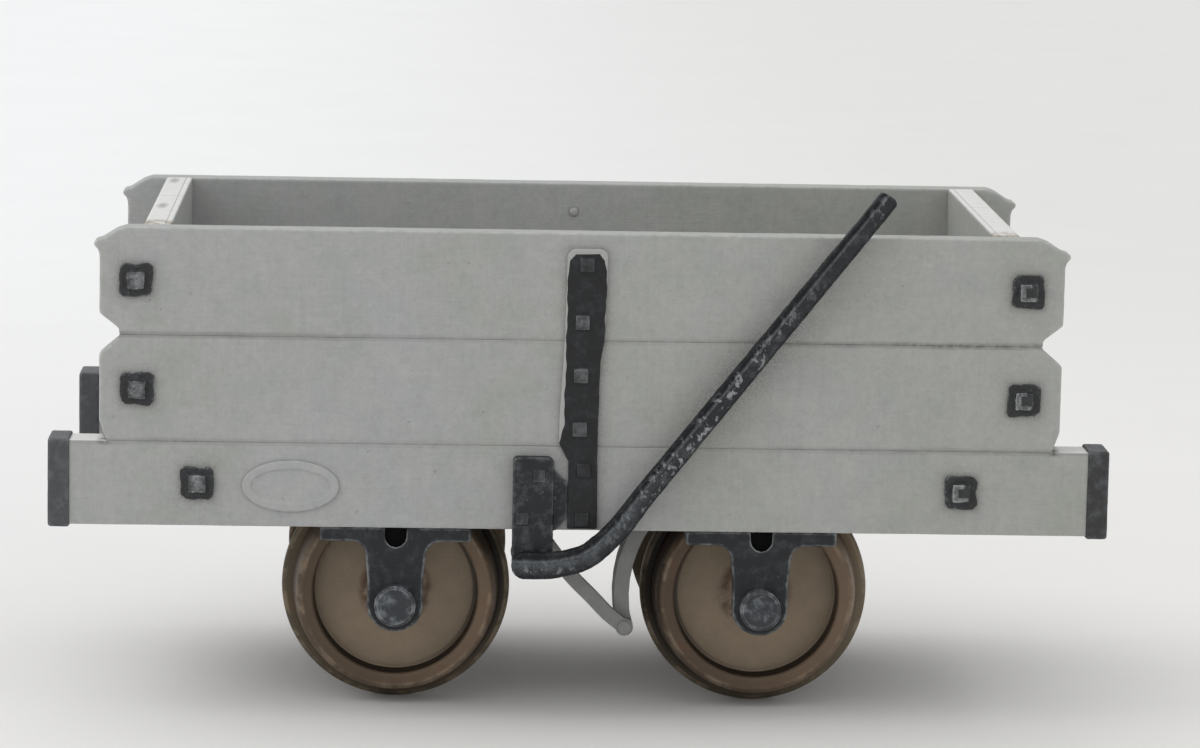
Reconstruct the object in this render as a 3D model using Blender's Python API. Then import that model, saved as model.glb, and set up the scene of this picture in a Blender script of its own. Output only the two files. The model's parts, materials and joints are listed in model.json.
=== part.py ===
"""Narrow-gauge two-plank mine wagon with dumb buffers and a hand brake.

Frame: +X along the track, +Y across it away from the brake lever, +Z up. The origin lies on the
floor, midway between the four wheels. All sizes are in metres. "Near" is the brake-lever side, -Y.
"""

import math

import bmesh
import bpy
from mathutils import Matrix, Vector

# ---- Driving dimensions --------------------------------------------------------------------
GAP = 0.0003                # clearance between pieces that touch
HALF_LENGTH = 1.157         # over the buffer caps
HALF_WIDTH = 0.53           # outer face of the planks and solebars

SOLE_BOTTOM = 0.425
SOLE_TOP = 0.610
SOLE_THICKNESS = 0.100
SOLE_INNER = HALF_WIDTH - SOLE_THICKNESS
CAP_LENGTH = 0.048
CAP_WALL = 0.005

PLANK_THICKNESS = 0.060
PLANK_INNER = HALF_WIDTH - PLANK_THICKNESS
PLANK_JOINT = 0.843         # height of the joint between the two planks
BODY_TOP = 1.078
PLANK_END = 1.0465
NIB_END = 1.060             # the small horn at each top corner of the side planks
PLANK_NECK = 1.0035         # where the chamfers meet at the joint

END_OUTER = 0.9555          # outer face of the end planks
END_THICKNESS = 0.047
LINING_THICKNESS = 0.0135
LINING_INNER = END_OUTER - END_THICKNESS - GAP - LINING_THICKNESS
FLOOR_THICKNESS = 0.040
FLOOR_BOARDS = 4
HEADSTOCK_THICKNESS = 0.090
BEARER_X = 0.200
BEARER_WIDTH = 0.070
BEARER_DEPTH = 0.110

AXLE_X = 0.400              # half the wheelbase
FLANGE_RADIUS = 0.254
TREAD_ROOT_RADIUS = 0.2285
TREAD_FRONT_RADIUS = 0.220
RIM_INNER_RADIUS = 0.184
RIM_BACK_RADIUS = 0.190
BACK_DISH = 0.036
HUB_RADIUS = 0.087
WHEEL_BACK = 0.265          # distance of the wheel's back face from the centre plane
FLANGE_FACE = 0.290
WEB_FACE = 0.335
HUB_FACE = 0.341
RIM_FACE = 0.390
SEAT_RADIUS = 0.030         # axle under the hub
JOURNAL_RADIUS = 0.022
JOURNAL_END = 0.505
WHEEL_SEGMENTS = 24

PEDESTAL_FACE = 0.520
PEDESTAL_WEB = 0.030
PEDESTAL_RADIUS = 0.062
FLANGE_HALF = 0.165
FLANGE_DEPTH = 0.032
NOTCH_RADIUS = 0.0235
NOTCH_DEPTH = 0.044
NOTCH_POCKET = 0.018        # how far back the notch goes into the web
BUSH_RADIUS = 0.032
BEARING_CAP_RADIUS = 0.0455
BEARING_CAP_FACE = 0.550

PLATE_SIDE = 0.074          # square washer plates
PLATE_THICKNESS = 0.009
NUT_SIDE = 0.038
NUT_HEIGHT = 0.013
BOLT_RADIUS = 0.008
CORNER_BOLT_RADIUS = 0.0065
SCREW_RADIUS = 0.006
HOLE_CLEARANCE = 0.0005
CORNER_BOLTS = ((0.9675, 0.9635), (0.9640, 0.7255))     # X and Z, upper and lower
TIE_ROD_X = 0.833
TIE_ROD_Z = 0.520
TIE_ROD_RADIUS = 0.009
STRAP_TOP = 1.045
STRAP_FOOT = 0.430
STRAP_CORNER = 0.018
STRAP_RIGHT = ((0.038, STRAP_FOOT), (0.036, 0.640), (0.039, 0.800), (0.048, 0.850))
STRAP_LEFT = ((-0.039, 0.850), (-0.048, 0.670), (-0.048, 0.618), (-0.0265, 0.578), (-0.0265, STRAP_FOOT))
STRAP_TOP_SIDES = (-0.036, 0.052)
STRAP_THICKNESS = 0.010
STRAP_NUT_SIDE = 0.030
PLANK_BOLTS = ((0.007, 1.010), (-0.001, 0.885), (-0.003, 0.768), (-0.003, 0.650))     # X and Z
SOLE_BOLTS = ((0.007, 0.560), (0.004, 0.452))
ANGLE_LEG = 0.046
ANGLE_THICKNESS = 0.008
ANGLE_BOTTOM = 0.630
ANGLE_TOP = 0.985
END_SCREW_Y = 0.441
END_SCREW_HEIGHTS = (0.910, 0.700)

LEVER_PIVOT = Vector((-0.119, 0.356))       # X and Z
LEVER_INNER = 0.5675                        # distance of the lever's back face from the centre plane
LEVER_THICKNESS = 0.025
SHAFT_RADIUS = 0.014
SHAFT_END = 0.580
BRACKET_FACE = 0.558
CRANK_RADIUS = 0.060
CRANK_ANGLE = math.radians(67)
CRANK_PLANE = (0.4073, 0.4267)
ROD_PLANE = (0.3870, 0.4070)
ROD_HALF_WIDTH = 0.0160
SHOE_PLANE = (0.3020, 0.3860)
SHOE_PIVOT = Vector((0.178, 0.455))
SHOE_PIN = Vector((0.108, 0.186))
SHOE_RADIUS = 0.300                         # of the shoe's middle, about the wheel's centre
SHOE_HALF_DEPTH = 0.0175
PIN_RADIUS = 0.007
OPEN_EYE_RADIUS = 0.0115                    # clearance eye where the rod meets the shoe's pin
BRACKET_BOLTS = ((-0.090, 0.550), (-0.125, 0.455))
HANGER_SCREWS = ((0.143, 0.465), (0.213, 0.465))

DRAW_HEIGHT = 0.475
HOOK_CENTRE_X = 1.030
HOOK_CENTRE_Z = 0.4925
HOOK_MOUTH_RADIUS = 0.0145
HOOK_OUTER_RADIUS = 0.0405
HOOK_THICKNESS = 0.022
LINK_WIRE_RADIUS = 0.007
LINK_HALF_WIDTH = 0.026
LINK_LENGTH = 0.135

OVAL_CENTRE = Vector((-0.630, 0.5157))
OVAL_HALF = (0.1065, 0.0575)
OVAL_RIM = 0.020


# ---- Scene and materials -------------------------------------------------------------------
def clear_scene():
    for obj in list(bpy.data.objects):
        bpy.data.objects.remove(obj, do_unlink=True)


def principled(name, colour, roughness, metallic):
    material = bpy.data.materials.new(name)
    material.use_nodes = True
    shader = material.node_tree.nodes["Principled BSDF"]
    shader.inputs["Base Color"].default_value = (*colour, 1.0)
    shader.inputs["Roughness"].default_value = roughness
    shader.inputs["Metallic"].default_value = metallic
    return material


# ---- Shapes --------------------------------------------------------------------------------
def as_object(name, shape):
    """A scene object from a bmesh, with its normals facing out."""
    bmesh.ops.recalc_face_normals(shape, faces=shape.faces[:])
    mesh = bpy.data.meshes.new(name)
    shape.to_mesh(mesh)
    shape.free()
    obj = bpy.data.objects.new(name, mesh)
    bpy.context.scene.collection.objects.link(obj)
    return obj


def bevel_sharp_edges(shape, width, least_angle=math.radians(35)):
    sharp = [edge for edge in shape.edges if edge.calc_face_angle(0.0) > least_angle]
    bmesh.ops.bevel(shape, geom=sharp, offset=width, segments=1, profile=0.5, affect="EDGES")


PLACE = {
    "X": lambda a, b, depth: (depth, a, b),
    "Y": lambda a, b, depth: (a, depth, b),
    "Z": lambda a, b, depth: (a, b, depth),
}


def prism(outline, low, high, along="Y", bevel=0.0):
    """A closed outline extruded from low to high along an axis."""
    shape = bmesh.new()
    place = PLACE[along]
    first = shape.faces.new([shape.verts.new(place(a, b, low)) for a, b in outline])
    made = bmesh.ops.extrude_face_region(shape, geom=[first])["geom"]
    moved = [item for item in made if isinstance(item, bmesh.types.BMVert)]
    bmesh.ops.translate(shape, vec=place(0.0, 0.0, high - low), verts=moved)
    bmesh.ops.recalc_face_normals(shape, faces=shape.faces[:])
    if bevel:
        bevel_sharp_edges(shape, bevel)
    return as_object("helper", shape)


def box(low, high, bevel=0.0):
    outline = rectangle(low[0], low[2], high[0], high[2])
    return prism(outline, low[1], high[1], "Y", bevel)


def turned(profile, centre=(0.0, 0.0), axis="Y", segments=16, around_nominal=False):
    """A closed profile of (radius, distance along the axis) swept round the axis.

    centre holds the two other coordinates. around_nominal puts the flats of the polygon, and not
    its corners, at the nominal radius: for holes, and for wheels, which then stand on a flat.
    """
    shape = bmesh.new()
    place = PLACE[axis]
    grow = 1.0 / math.cos(math.pi / segments) if around_nominal else 1.0
    shift = 0.5 if around_nominal else 0.0
    rings = []
    for radius, along in profile:
        if radius == 0.0:
            rings.append([shape.verts.new(place(centre[0], centre[1], along))] * segments)
            continue
        ring = []
        for step in range(segments):
            angle = 2.0 * math.pi * (step + shift) / segments
            across = centre[0] + radius * grow * math.cos(angle)
            up = centre[1] + radius * grow * math.sin(angle)
            ring.append(shape.verts.new(place(across, up, along)))
        rings.append(ring)
    pairs = list(zip(rings, rings[1:]))
    if profile[0][0] and profile[-1][0]:
        pairs.append((rings[-1], rings[0]))
    for ring, following in pairs:
        for step in range(segments):
            after = (step + 1) % segments
            corners = [ring[step], ring[after], following[after], following[step]]
            corners = list(dict.fromkeys(corners))
            if len(corners) > 2:
                shape.faces.new(corners)
    return as_object("helper", shape)


def rod(radius, low, high, centre, axis="Y", segments=12, hole=False):
    profile = [(0.0, low), (radius, low), (radius, high), (0.0, high)]
    return turned(profile, centre, axis, segments, around_nominal=hole)


def rectangle(a_low, b_low, a_high, b_high):
    return [(a_low, b_low), (a_high, b_low), (a_high, b_high), (a_low, b_high)]


def centred_square(centre, side, corner=0.0):
    """A square with its corners cut back by corner."""
    half = side / 2
    if not corner:
        return rectangle(centre[0] - half, centre[1] - half, centre[0] + half, centre[1] + half)
    inner = half - corner
    points = []
    for x_sign, z_sign in ((1, 1), (-1, 1), (-1, -1), (1, -1)):
        pair = [(x_sign * half, z_sign * inner), (x_sign * inner, z_sign * half)]
        points += pair if x_sign == z_sign else pair[::-1]
    return [(centre[0] + a, centre[1] + b) for a, b in points]


def arc(centre, radius, start, end, steps):
    """Points along an arc, angles in degrees."""
    points = []
    for step in range(steps + 1):
        angle = math.radians(start + (end - start) * step / steps)
        points.append((centre[0] + radius * math.cos(angle), centre[1] + radius * math.sin(angle)))
    return points


def smooth_path(points, steps):
    """A Catmull-Rom curve through the points, each a Vector, with steps spans between each two."""
    ends = [2 * points[0] - points[1]] + points + [2 * points[-1] - points[-2]]
    path = []
    for before, start, end, after in zip(ends, ends[1:], ends[2:], ends[3:]):
        for step in range(steps):
            t = step / steps
            path.append(
                0.5
                * (
                    2 * start
                    + (end - before) * t
                    + (2 * before - 5 * start + 4 * end - after) * t**2
                    + (3 * start - before - 3 * end + after) * t**3
                )
            )
    return path + [points[-1]]


def band(path, half_widths):
    """The outline of a strip along a path, as two lists of points: the left side and the right."""
    left = []
    right = []
    for index, point in enumerate(path):
        ahead = path[min(index + 1, len(path) - 1)]
        behind = path[max(index - 1, 0)]
        direction = (ahead - behind).normalized()
        across = Vector((-direction.y, direction.x)) * half_widths[index]
        left.append(tuple(point + across))
        right.append(tuple(point - across))
    return left, right


def shaded(obj):
    obj.data.shade_smooth()
    obj.data.set_sharp_from_angle(angle=math.radians(35))


def combined(name, material, base, add=(), cut=()):
    """One closed piece: base joined with the add helpers, then cut by the cut helpers."""
    for operation, helpers in (("UNION", add), ("DIFFERENCE", cut)):
        for helper in helpers:
            boolean = base.modifiers.new(operation.title(), "BOOLEAN")
            boolean.operation = operation
            boolean.solver = "EXACT"
            boolean.object = helper
    bpy.context.view_layer.update()
    evaluated = base.evaluated_get(bpy.context.evaluated_depsgraph_get())
    mesh = bpy.data.meshes.new_from_object(evaluated)
    mesh.name = name
    mesh.materials.clear()
    mesh.materials.append(material)
    piece = bpy.data.objects.new(name, mesh)
    bpy.context.scene.collection.objects.link(piece)
    for helper in (base, *add, *cut):
        bpy.data.objects.remove(helper, do_unlink=True)
    shaded(piece)
    return piece


def mirrored(piece, name, across):
    """A handed copy of a piece on the other side of the centre plane across X or Y."""
    mesh = piece.data.copy()
    mesh.name = name
    normal = {"X": (1, 0, 0), "Y": (0, 1, 0)}[across]
    mesh.transform(Matrix.Scale(-1, 4, normal))
    mesh.flip_normals()
    copy = bpy.data.objects.new(name, mesh)
    bpy.context.scene.collection.objects.link(copy)
    return copy


def set_origin(piece, point):
    """Moves a piece's origin to a point, such as its pivot, and leaves the piece where it is."""
    piece.data.transform(Matrix.Translation(-Vector(point)))
    piece.location = point


def bolt_hole(x, z, radius, low, high):
    return rod(radius + HOLE_CLEARANCE, low, high, (x, z), segments=8, hole=True)


# ---- Body ----------------------------------------------------------------------------------
def both_ends(right_half):
    """An outline that is the same at both ends, from its right half, top to bottom."""
    return right_half + [(-x, z) for x, z in reversed(right_half)]


def side_planks(timber):
    top = both_ends(
        [
            (0.990, BODY_TOP),
            (1.010, BODY_TOP - 0.007),
            (1.041, 1.051),
            (NIB_END - 0.004, 1.047),
            (NIB_END, 1.038),
            (PLANK_END + 0.003, 1.028),
            (PLANK_END, 1.014),
            (PLANK_END, 0.890),
            (PLANK_NECK, 0.856),
            (PLANK_NECK, PLANK_JOINT + GAP),
        ]
    )
    bottom = both_ends(
        [
            (PLANK_NECK, PLANK_JOINT),
            (PLANK_NECK, 0.836),
            (PLANK_END, 0.800),
            (PLANK_END, 0.655),
            (1.030, SOLE_TOP + GAP),
        ]
    )
    for name, outline, corner_bolt, strap_bolts in (
        ("upper", top, CORNER_BOLTS[0], PLANK_BOLTS[:2]),
        ("lower", bottom, CORNER_BOLTS[1], PLANK_BOLTS[2:]),
    ):
        places = [corner_bolt, (-corner_bolt[0], corner_bolt[1]), *strap_bolts]
        through = (-HALF_WIDTH - 0.01, -PLANK_INNER + 0.01)
        holes = [bolt_hole(x, z, BOLT_RADIUS, *through) for x, z in places]
        plank = prism(outline, -HALF_WIDTH, -PLANK_INNER, bevel=0.002)
        near = combined(f"side_plank_near_{name}", timber, plank, cut=holes)
        mirrored(near, f"side_plank_far_{name}", "Y")


def ends(timber):
    """Two planks and a thin lining at each end, standing on the headstock between the sides."""
    foot = SOLE_TOP + GAP
    across = PLANK_INNER - GAP
    plank_inner = END_OUTER - END_THICKNESS
    for name, low, high in (
        ("lower", foot, PLANK_JOINT),
        ("upper", PLANK_JOINT + GAP, BODY_TOP),
    ):
        plank = box((plank_inner, -across, low), (END_OUTER, across, high), 0.002)
        holes = []
        for height in END_SCREW_HEIGHTS:
            if low < height < high:
                for y in (END_SCREW_Y, -END_SCREW_Y):
                    radius = SCREW_RADIUS + HOLE_CLEARANCE
                    holes.append(rod(radius, END_OUTER - 0.038, 1.0, (y, height), "X", 8, hole=True))
        right = combined(f"end_plank_right_{name}", timber, plank, cut=holes)
        mirrored(right, f"end_plank_left_{name}", "X")
    lining = box((LINING_INNER, -across, foot), (plank_inner - GAP, across, BODY_TOP), 0.001)
    right = combined("end_lining_right", timber, lining)
    mirrored(right, "end_lining_left", "X")


def floor(timber):
    width = 2 * (PLANK_INNER - GAP) / FLOOR_BOARDS
    end = LINING_INNER - GAP
    for number in range(FLOOR_BOARDS):
        low_y = -PLANK_INNER + GAP + number * width
        low = (-end, low_y + GAP / 2, SOLE_TOP + GAP)
        high = (end, low_y + width - GAP / 2, SOLE_TOP + GAP + FLOOR_THICKNESS)
        combined(f"floor_board_{number + 1}", timber, box(low, high, 0.002))


# ---- Underframe ----------------------------------------------------------------------------
def solebars(timber):
    end = HALF_LENGTH - CAP_WALL - GAP
    bar_low = (-end, -HALF_WIDTH, SOLE_BOTTOM)
    bar_high = (end, -SOLE_INNER, SOLE_TOP)
    through = (-HALF_WIDTH - 0.01, -SOLE_INNER + 0.01)
    common = [bolt_hole(x, z, BOLT_RADIUS, *through) for x, z in SOLE_BOLTS]
    common += [bolt_hole(x, TIE_ROD_Z, TIE_ROD_RADIUS, *through) for x in (TIE_ROD_X, -TIE_ROD_X)]
    common += [bolt_hole(x, z, SCREW_RADIUS, *through) for x, z in BRACKET_BOLTS]
    for x, y in pedestal_screws():
        radius = SCREW_RADIUS + HOLE_CLEARANCE
        common.append(rod(radius, SOLE_BOTTOM - 0.01, SOLE_BOTTOM + 0.062, (x, y), "Z", 8, hole=True))
    bar = combined("solebar_near", timber, box(bar_low, bar_high, 0.002), cut=common)
    mirrored(bar, "solebar_far", "Y")
    bar.name = "helper"
    blind = (-SOLE_INNER - 0.042, -SOLE_INNER + 0.01)
    hanger_holes = [bolt_hole(x, z, SCREW_RADIUS, *blind) for x, z in HANGER_SCREWS]
    combined("solebar_near", timber, bar, cut=hanger_holes)


def buffer_caps(iron):
    """Iron shoes over the four projecting solebar ends, which are the buffers."""
    inner = HALF_LENGTH - CAP_LENGTH
    shell_low = (inner, -HALF_WIDTH - GAP - CAP_WALL, SOLE_BOTTOM - GAP - CAP_WALL)
    shell_high = (HALF_LENGTH, -SOLE_INNER + GAP + CAP_WALL, SOLE_TOP + GAP + CAP_WALL)
    hollow_low = (inner - 0.01, -HALF_WIDTH - GAP, SOLE_BOTTOM - GAP)
    hollow_high = (HALF_LENGTH - CAP_WALL, -SOLE_INNER + GAP, SOLE_TOP + GAP)
    near_right = combined(
        "buffer_cap_near_right",
        iron,
        box(shell_low, shell_high, 0.004),
        cut=[box(hollow_low, hollow_high)],
    )
    near_left = mirrored(near_right, "buffer_cap_near_left", "X")
    mirrored(near_right, "buffer_cap_far_right", "Y")
    mirrored(near_left, "buffer_cap_far_left", "Y")


def crossmembers(timber):
    across = SOLE_INNER - GAP
    top = SOLE_TOP - GAP
    head_low = (END_OUTER - HEADSTOCK_THICKNESS, -across, 0.430)
    head = box(head_low, (END_OUTER, across, top), 0.002)
    hole = rod(HOOK_MOUTH_RADIUS + HOLE_CLEARANCE, 0.8, 1.0, (0.0, DRAW_HEIGHT), "X", 12, hole=True)
    right = combined("headstock_right", timber, head, cut=[hole])
    mirrored(right, "headstock_left", "X")
    half = BEARER_WIDTH / 2
    low = (BEARER_X - half, -across, top - BEARER_DEPTH)
    right = combined("cross_bearer_right", timber, box(low, (BEARER_X + half, across, top), 0.002))
    mirrored(right, "cross_bearer_left", "X")


def plate_and_nut(centre, outward=-1):
    """The square washer plate and nut on the outside of a side, as two overlapping helpers."""
    face = HALF_WIDTH + GAP
    plate_back, plate_front = outward * face, outward * (face + PLATE_THICKNESS)
    nut_back = outward * (face + PLATE_THICKNESS - 0.002)
    nut_front = outward * (face + PLATE_THICKNESS + NUT_HEIGHT)
    square = centred_square(centre, PLATE_SIDE, 0.010)
    plate = prism(square, min(plate_back, plate_front), max(plate_back, plate_front))
    square = centred_square(centre, NUT_SIDE)
    nut = prism(square, min(nut_back, nut_front), max(nut_back, nut_front))
    return plate, nut


def tie_rods(iron):
    centre = (TIE_ROD_X, TIE_ROD_Z)
    end = HALF_WIDTH + GAP + PLATE_THICKNESS / 2
    bar = rod(TIE_ROD_RADIUS, -end, end, centre, segments=10)
    fittings = [*plate_and_nut(centre, -1), *plate_and_nut(centre, 1)]
    right = combined("tie_rod_right", iron, bar, add=fittings)
    mirrored(right, "tie_rod_left", "X")


def through_bolt(x, z, start, inner_face):
    """A bolt's shank from inside its washer to a low round head on the inner face.

    Beside the floor there is no room for a head, so a coach screw that ends inside the plank holds there.
    """
    if inner_face < -SOLE_INNER - 0.01 and z < SOLE_TOP + FLOOR_THICKNESS + 0.02:
        return rod(BOLT_RADIUS, start, inner_face - 0.006, (x, z), segments=8)
    head = 0.013
    profile = [
        (0.0, start),
        (BOLT_RADIUS, start),
        (BOLT_RADIUS, inner_face),
        (head, inner_face),
        (head * 0.7, inner_face + 0.005),
        (0.0, inner_face + 0.006),
    ]
    return turned(profile, (x, z), segments=8)


def side_straps(iron):
    """The upright strap that ties both planks to the solebar, with its six bolts."""
    left, right = STRAP_TOP_SIDES
    corner_z = STRAP_TOP - STRAP_CORNER
    outline = list(STRAP_RIGHT)
    outline += arc((right - STRAP_CORNER, corner_z), STRAP_CORNER, 0, 90, 3)
    outline += arc((left + STRAP_CORNER, corner_z), STRAP_CORNER, 90, 180, 3)
    outline += list(STRAP_LEFT)
    back = -HALF_WIDTH - GAP
    front = back - STRAP_THICKNESS
    strap = prism(outline, front, back)
    parts = []
    for bolts, inner in ((PLANK_BOLTS, -PLANK_INNER), (SOLE_BOLTS, -SOLE_INNER)):
        for x, z in bolts:
            parts.append(through_bolt(x, z, back - 0.005, inner + GAP))
            nut = centred_square((x, z), STRAP_NUT_SIDE)
            parts.append(prism(nut, front - 0.009, front + 0.002))
    near = combined("side_strap_near", iron, strap, add=parts)
    mirrored(near, "side_strap_far", "Y")


def corner_irons(iron):
    """Angle irons outside the ends, bolted through the side planks and screwed to the end planks."""
    leg_x = END_OUTER + GAP
    leg_y = -PLANK_INNER + GAP
    outline = [
        (leg_x, leg_y),
        (leg_x + ANGLE_LEG, leg_y),
        (leg_x + ANGLE_LEG, leg_y + ANGLE_THICKNESS),
        (leg_x + ANGLE_THICKNESS, leg_y + ANGLE_THICKNESS),
        (leg_x + ANGLE_THICKNESS, leg_y + ANGLE_LEG),
        (leg_x, leg_y + ANGLE_LEG),
    ]
    angle = prism(outline, ANGLE_BOTTOM, ANGLE_TOP, "Z")
    parts = []
    for bolt in CORNER_BOLTS:
        shank_end = leg_y + ANGLE_THICKNESS / 2
        parts.append(rod(CORNER_BOLT_RADIUS, -HALF_WIDTH - 0.004, shank_end, bolt, segments=8))
        parts += plate_and_nut(bolt)
    for z in END_SCREW_HEIGHTS:
        head = centred_square((-END_SCREW_Y, z), 0.030)
        parts.append(prism(head, leg_x + 0.006, leg_x + 0.016, "X"))
        parts.append(rod(SCREW_RADIUS, END_OUTER - 0.035, leg_x + 0.010, (-END_SCREW_Y, z), "X", 8))
    near_right = combined("corner_iron_near_right", iron, angle, add=parts)
    near_left = mirrored(near_right, "corner_iron_near_left", "X")
    mirrored(near_right, "corner_iron_far_right", "Y")
    mirrored(near_left, "corner_iron_far_left", "Y")


def oval_plate(paint):
    """A blank cast plate with a raised rim on the near solebar."""

    def ellipse(inset):
        points = arc((0, 0), 1.0, 0, 360, 28)[:-1]
        return [
            (OVAL_CENTRE.x + (OVAL_HALF[0] - inset) * a, OVAL_CENTRE.y + (OVAL_HALF[1] - inset) * b)
            for a, b in points
        ]

    back = -HALF_WIDTH - GAP
    plate = prism(ellipse(0.0), back - 0.007, back, bevel=0.002)
    recess = prism(ellipse(OVAL_RIM), back - 0.02, back - 0.003)
    combined("oval_plate", paint, plate, cut=[recess])


# ---- Running gear --------------------------------------------------------------------------
def wheel(name, material, x, turn):
    """A cast disc wheel with a deep dished face, a flange and a plain hub."""
    bore = SEAT_RADIUS + GAP
    profile = [
        (bore, HUB_FACE),
        (HUB_RADIUS, HUB_FACE),
        (HUB_RADIUS + 0.003, WEB_FACE),
        (RIM_INNER_RADIUS - 0.004, WEB_FACE),
        (RIM_INNER_RADIUS, RIM_FACE),
        (TREAD_FRONT_RADIUS, RIM_FACE),
        (TREAD_ROOT_RADIUS, FLANGE_FACE + 0.006),
        (FLANGE_RADIUS - 0.003, FLANGE_FACE),
        (FLANGE_RADIUS, FLANGE_FACE - 0.006),
        (FLANGE_RADIUS, WHEEL_BACK),
        (RIM_BACK_RADIUS, WHEEL_BACK),
        (RIM_BACK_RADIUS - 0.003, WHEEL_BACK + BACK_DISH),
        (HUB_RADIUS + 0.003, WHEEL_BACK + BACK_DISH),
        (HUB_RADIUS, WHEEL_BACK),
        (bore, WHEEL_BACK),
    ]
    outward = [(radius, -distance) for radius, distance in profile]
    shape = turned(outward, segments=WHEEL_SEGMENTS, around_nominal=True)
    piece = combined(name, material, shape)
    piece.rotation_euler.z = turn
    piece.location = (x, 0.0, FLANGE_RADIUS)


def axle(name, material, x):
    half = [
        (0.0, JOURNAL_END),
        (JOURNAL_RADIUS, JOURNAL_END),
        (JOURNAL_RADIUS, HUB_FACE + 0.006),
        (SEAT_RADIUS, HUB_FACE + 0.002),
        (SEAT_RADIUS, WHEEL_BACK - 0.004),
        (0.027, WHEEL_BACK - 0.016),
    ]
    profile = half + [(radius, -along) for radius, along in reversed(half)]
    piece = combined(name, material, turned(profile, segments=16))
    piece.location = (x, 0.0, FLANGE_RADIUS)


def pedestal_screws():
    """Where the coach screws of the near pedestals go up into the solebar: X and Y."""
    return [(end * AXLE_X + x, -0.457) for end in (-1, 1) for x in (-0.130, 0.130)]


def pedestal_outline():
    """Half a flange and half a neck, mirrored, down to a round foot about the axle."""
    flange_top = SOLE_BOTTOM - GAP - FLANGE_RADIUS
    flange_low = flange_top - FLANGE_DEPTH
    neck = 0.062
    fillet = 0.030
    right = [(FLANGE_HALF, flange_top), (FLANGE_HALF, flange_low)]
    right += arc((neck + fillet + 0.004, flange_low - fillet), fillet, 90, 170, 3)
    right += [(neck - 0.001, 0.055)]
    right += arc((0.0, 0.0), PEDESTAL_RADIUS, 12, -90, 6)
    return right + [(-x, z) for x, z in reversed(right[:-1])]


def pedestals(iron):
    """Cast axle guards: a flange under the solebar, a front web and a barrel for the bush."""
    flange_top = SOLE_BOTTOM - GAP - FLANGE_RADIUS
    web = prism(pedestal_outline(), -PEDESTAL_FACE, -PEDESTAL_FACE + PEDESTAL_WEB, bevel=0.003)
    flange_low = (-FLANGE_HALF, -PEDESTAL_FACE + 0.005, flange_top - FLANGE_DEPTH + 0.006)
    flange = box(flange_low, (FLANGE_HALF, -SOLE_INNER - 0.004, flange_top), 0.0)
    barrel = rod(PEDESTAL_RADIUS - 0.006, -PEDESTAL_FACE + 0.010, -SOLE_INNER, (0, 0), segments=20)
    rib = box((-0.012, -PEDESTAL_FACE + 0.010, 0.030), (0.012, -SOLE_INNER - 0.008, flange_top - 0.045))
    bore = rod(BUSH_RADIUS + HOLE_CLEARANCE, -0.6, -0.3, (0, 0), segments=20, hole=True)
    notch_centre = flange_top - NOTCH_DEPTH + NOTCH_RADIUS
    notch_outline = [(NOTCH_RADIUS, flange_top + 0.01)]
    notch_outline += arc((0.0, notch_centre), NOTCH_RADIUS, 0, -180, 6)
    notch_outline += [(-NOTCH_RADIUS, flange_top + 0.01)]
    notch = prism(notch_outline, -PEDESTAL_FACE - 0.01, -PEDESTAL_FACE + NOTCH_POCKET)
    screws = []
    for x in (-0.130, 0.130):
        head = centred_square((x, -0.457), 0.026)
        screws.append(prism(head, flange_top - FLANGE_DEPTH - 0.003, flange_top - 0.010, "Z", 0.0))
        screws.append(rod(SCREW_RADIUS, flange_top - 0.020, flange_top + 0.058, (x, -0.457), "Z", 8))
    casting = combined("pedestal", iron, web, add=[flange, barrel, rib, *screws], cut=[bore, notch])
    mesh = casting.data
    bpy.data.objects.remove(casting, do_unlink=True)
    for side, turn in (("near", 0.0), ("far", math.pi)):
        for end, x in (("left", -AXLE_X), ("right", AXLE_X)):
            piece = bpy.data.objects.new(f"pedestal_{side}_{end}", mesh)
            bpy.context.scene.collection.objects.link(piece)
            piece.rotation_euler.z = turn
            piece.location = (x, 0.0, FLANGE_RADIUS)


def bearing_bushes(iron):
    """Closed bushes: a sleeve on the journal with a round cap outside the pedestal."""
    cap_back = PEDESTAL_FACE + GAP
    profile = [
        (0.0, BEARING_CAP_FACE - 0.003),
        (BEARING_CAP_RADIUS - 0.011, BEARING_CAP_FACE - 0.003),
        (BEARING_CAP_RADIUS - 0.007, BEARING_CAP_FACE),
        (BEARING_CAP_RADIUS, BEARING_CAP_FACE - 0.004),
        (BEARING_CAP_RADIUS, cap_back),
        (BUSH_RADIUS, cap_back),
        (BUSH_RADIUS, SOLE_INNER + 0.004),
        (JOURNAL_RADIUS + HOLE_CLEARANCE, SOLE_INNER + 0.004),
        (JOURNAL_RADIUS + HOLE_CLEARANCE, JOURNAL_END + 0.005),
        (0.0, JOURNAL_END + 0.005),
    ]
    outward = [(radius, -along) for radius, along in profile]
    for side, turn in (("near", 0.0), ("far", math.pi)):
        for end, x in (("left", -AXLE_X), ("right", AXLE_X)):
            piece = combined(f"bearing_bush_{side}_{end}", iron, turned(outward, segments=20))
            piece.rotation_euler.z = turn
            piece.location = (x, 0.0, FLANGE_RADIUS)


def wheelsets(wheel_material, axle_material):
    for end, x in (("left", -AXLE_X), ("right", AXLE_X)):
        wheel(f"wheel_near_{end}", wheel_material, x, 0.0)
        wheel(f"wheel_far_{end}", wheel_material, x, math.pi)
        axle(f"axle_{end}", axle_material, x)


# ---- Brake ---------------------------------------------------------------------------------
def crank_pin():
    """The crank's pin, as X and Z: up and to the right of the shaft, near the solebar's foot."""
    return LEVER_PIVOT + CRANK_RADIUS * Vector((math.cos(CRANK_ANGLE), math.sin(CRANK_ANGLE)))


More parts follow.
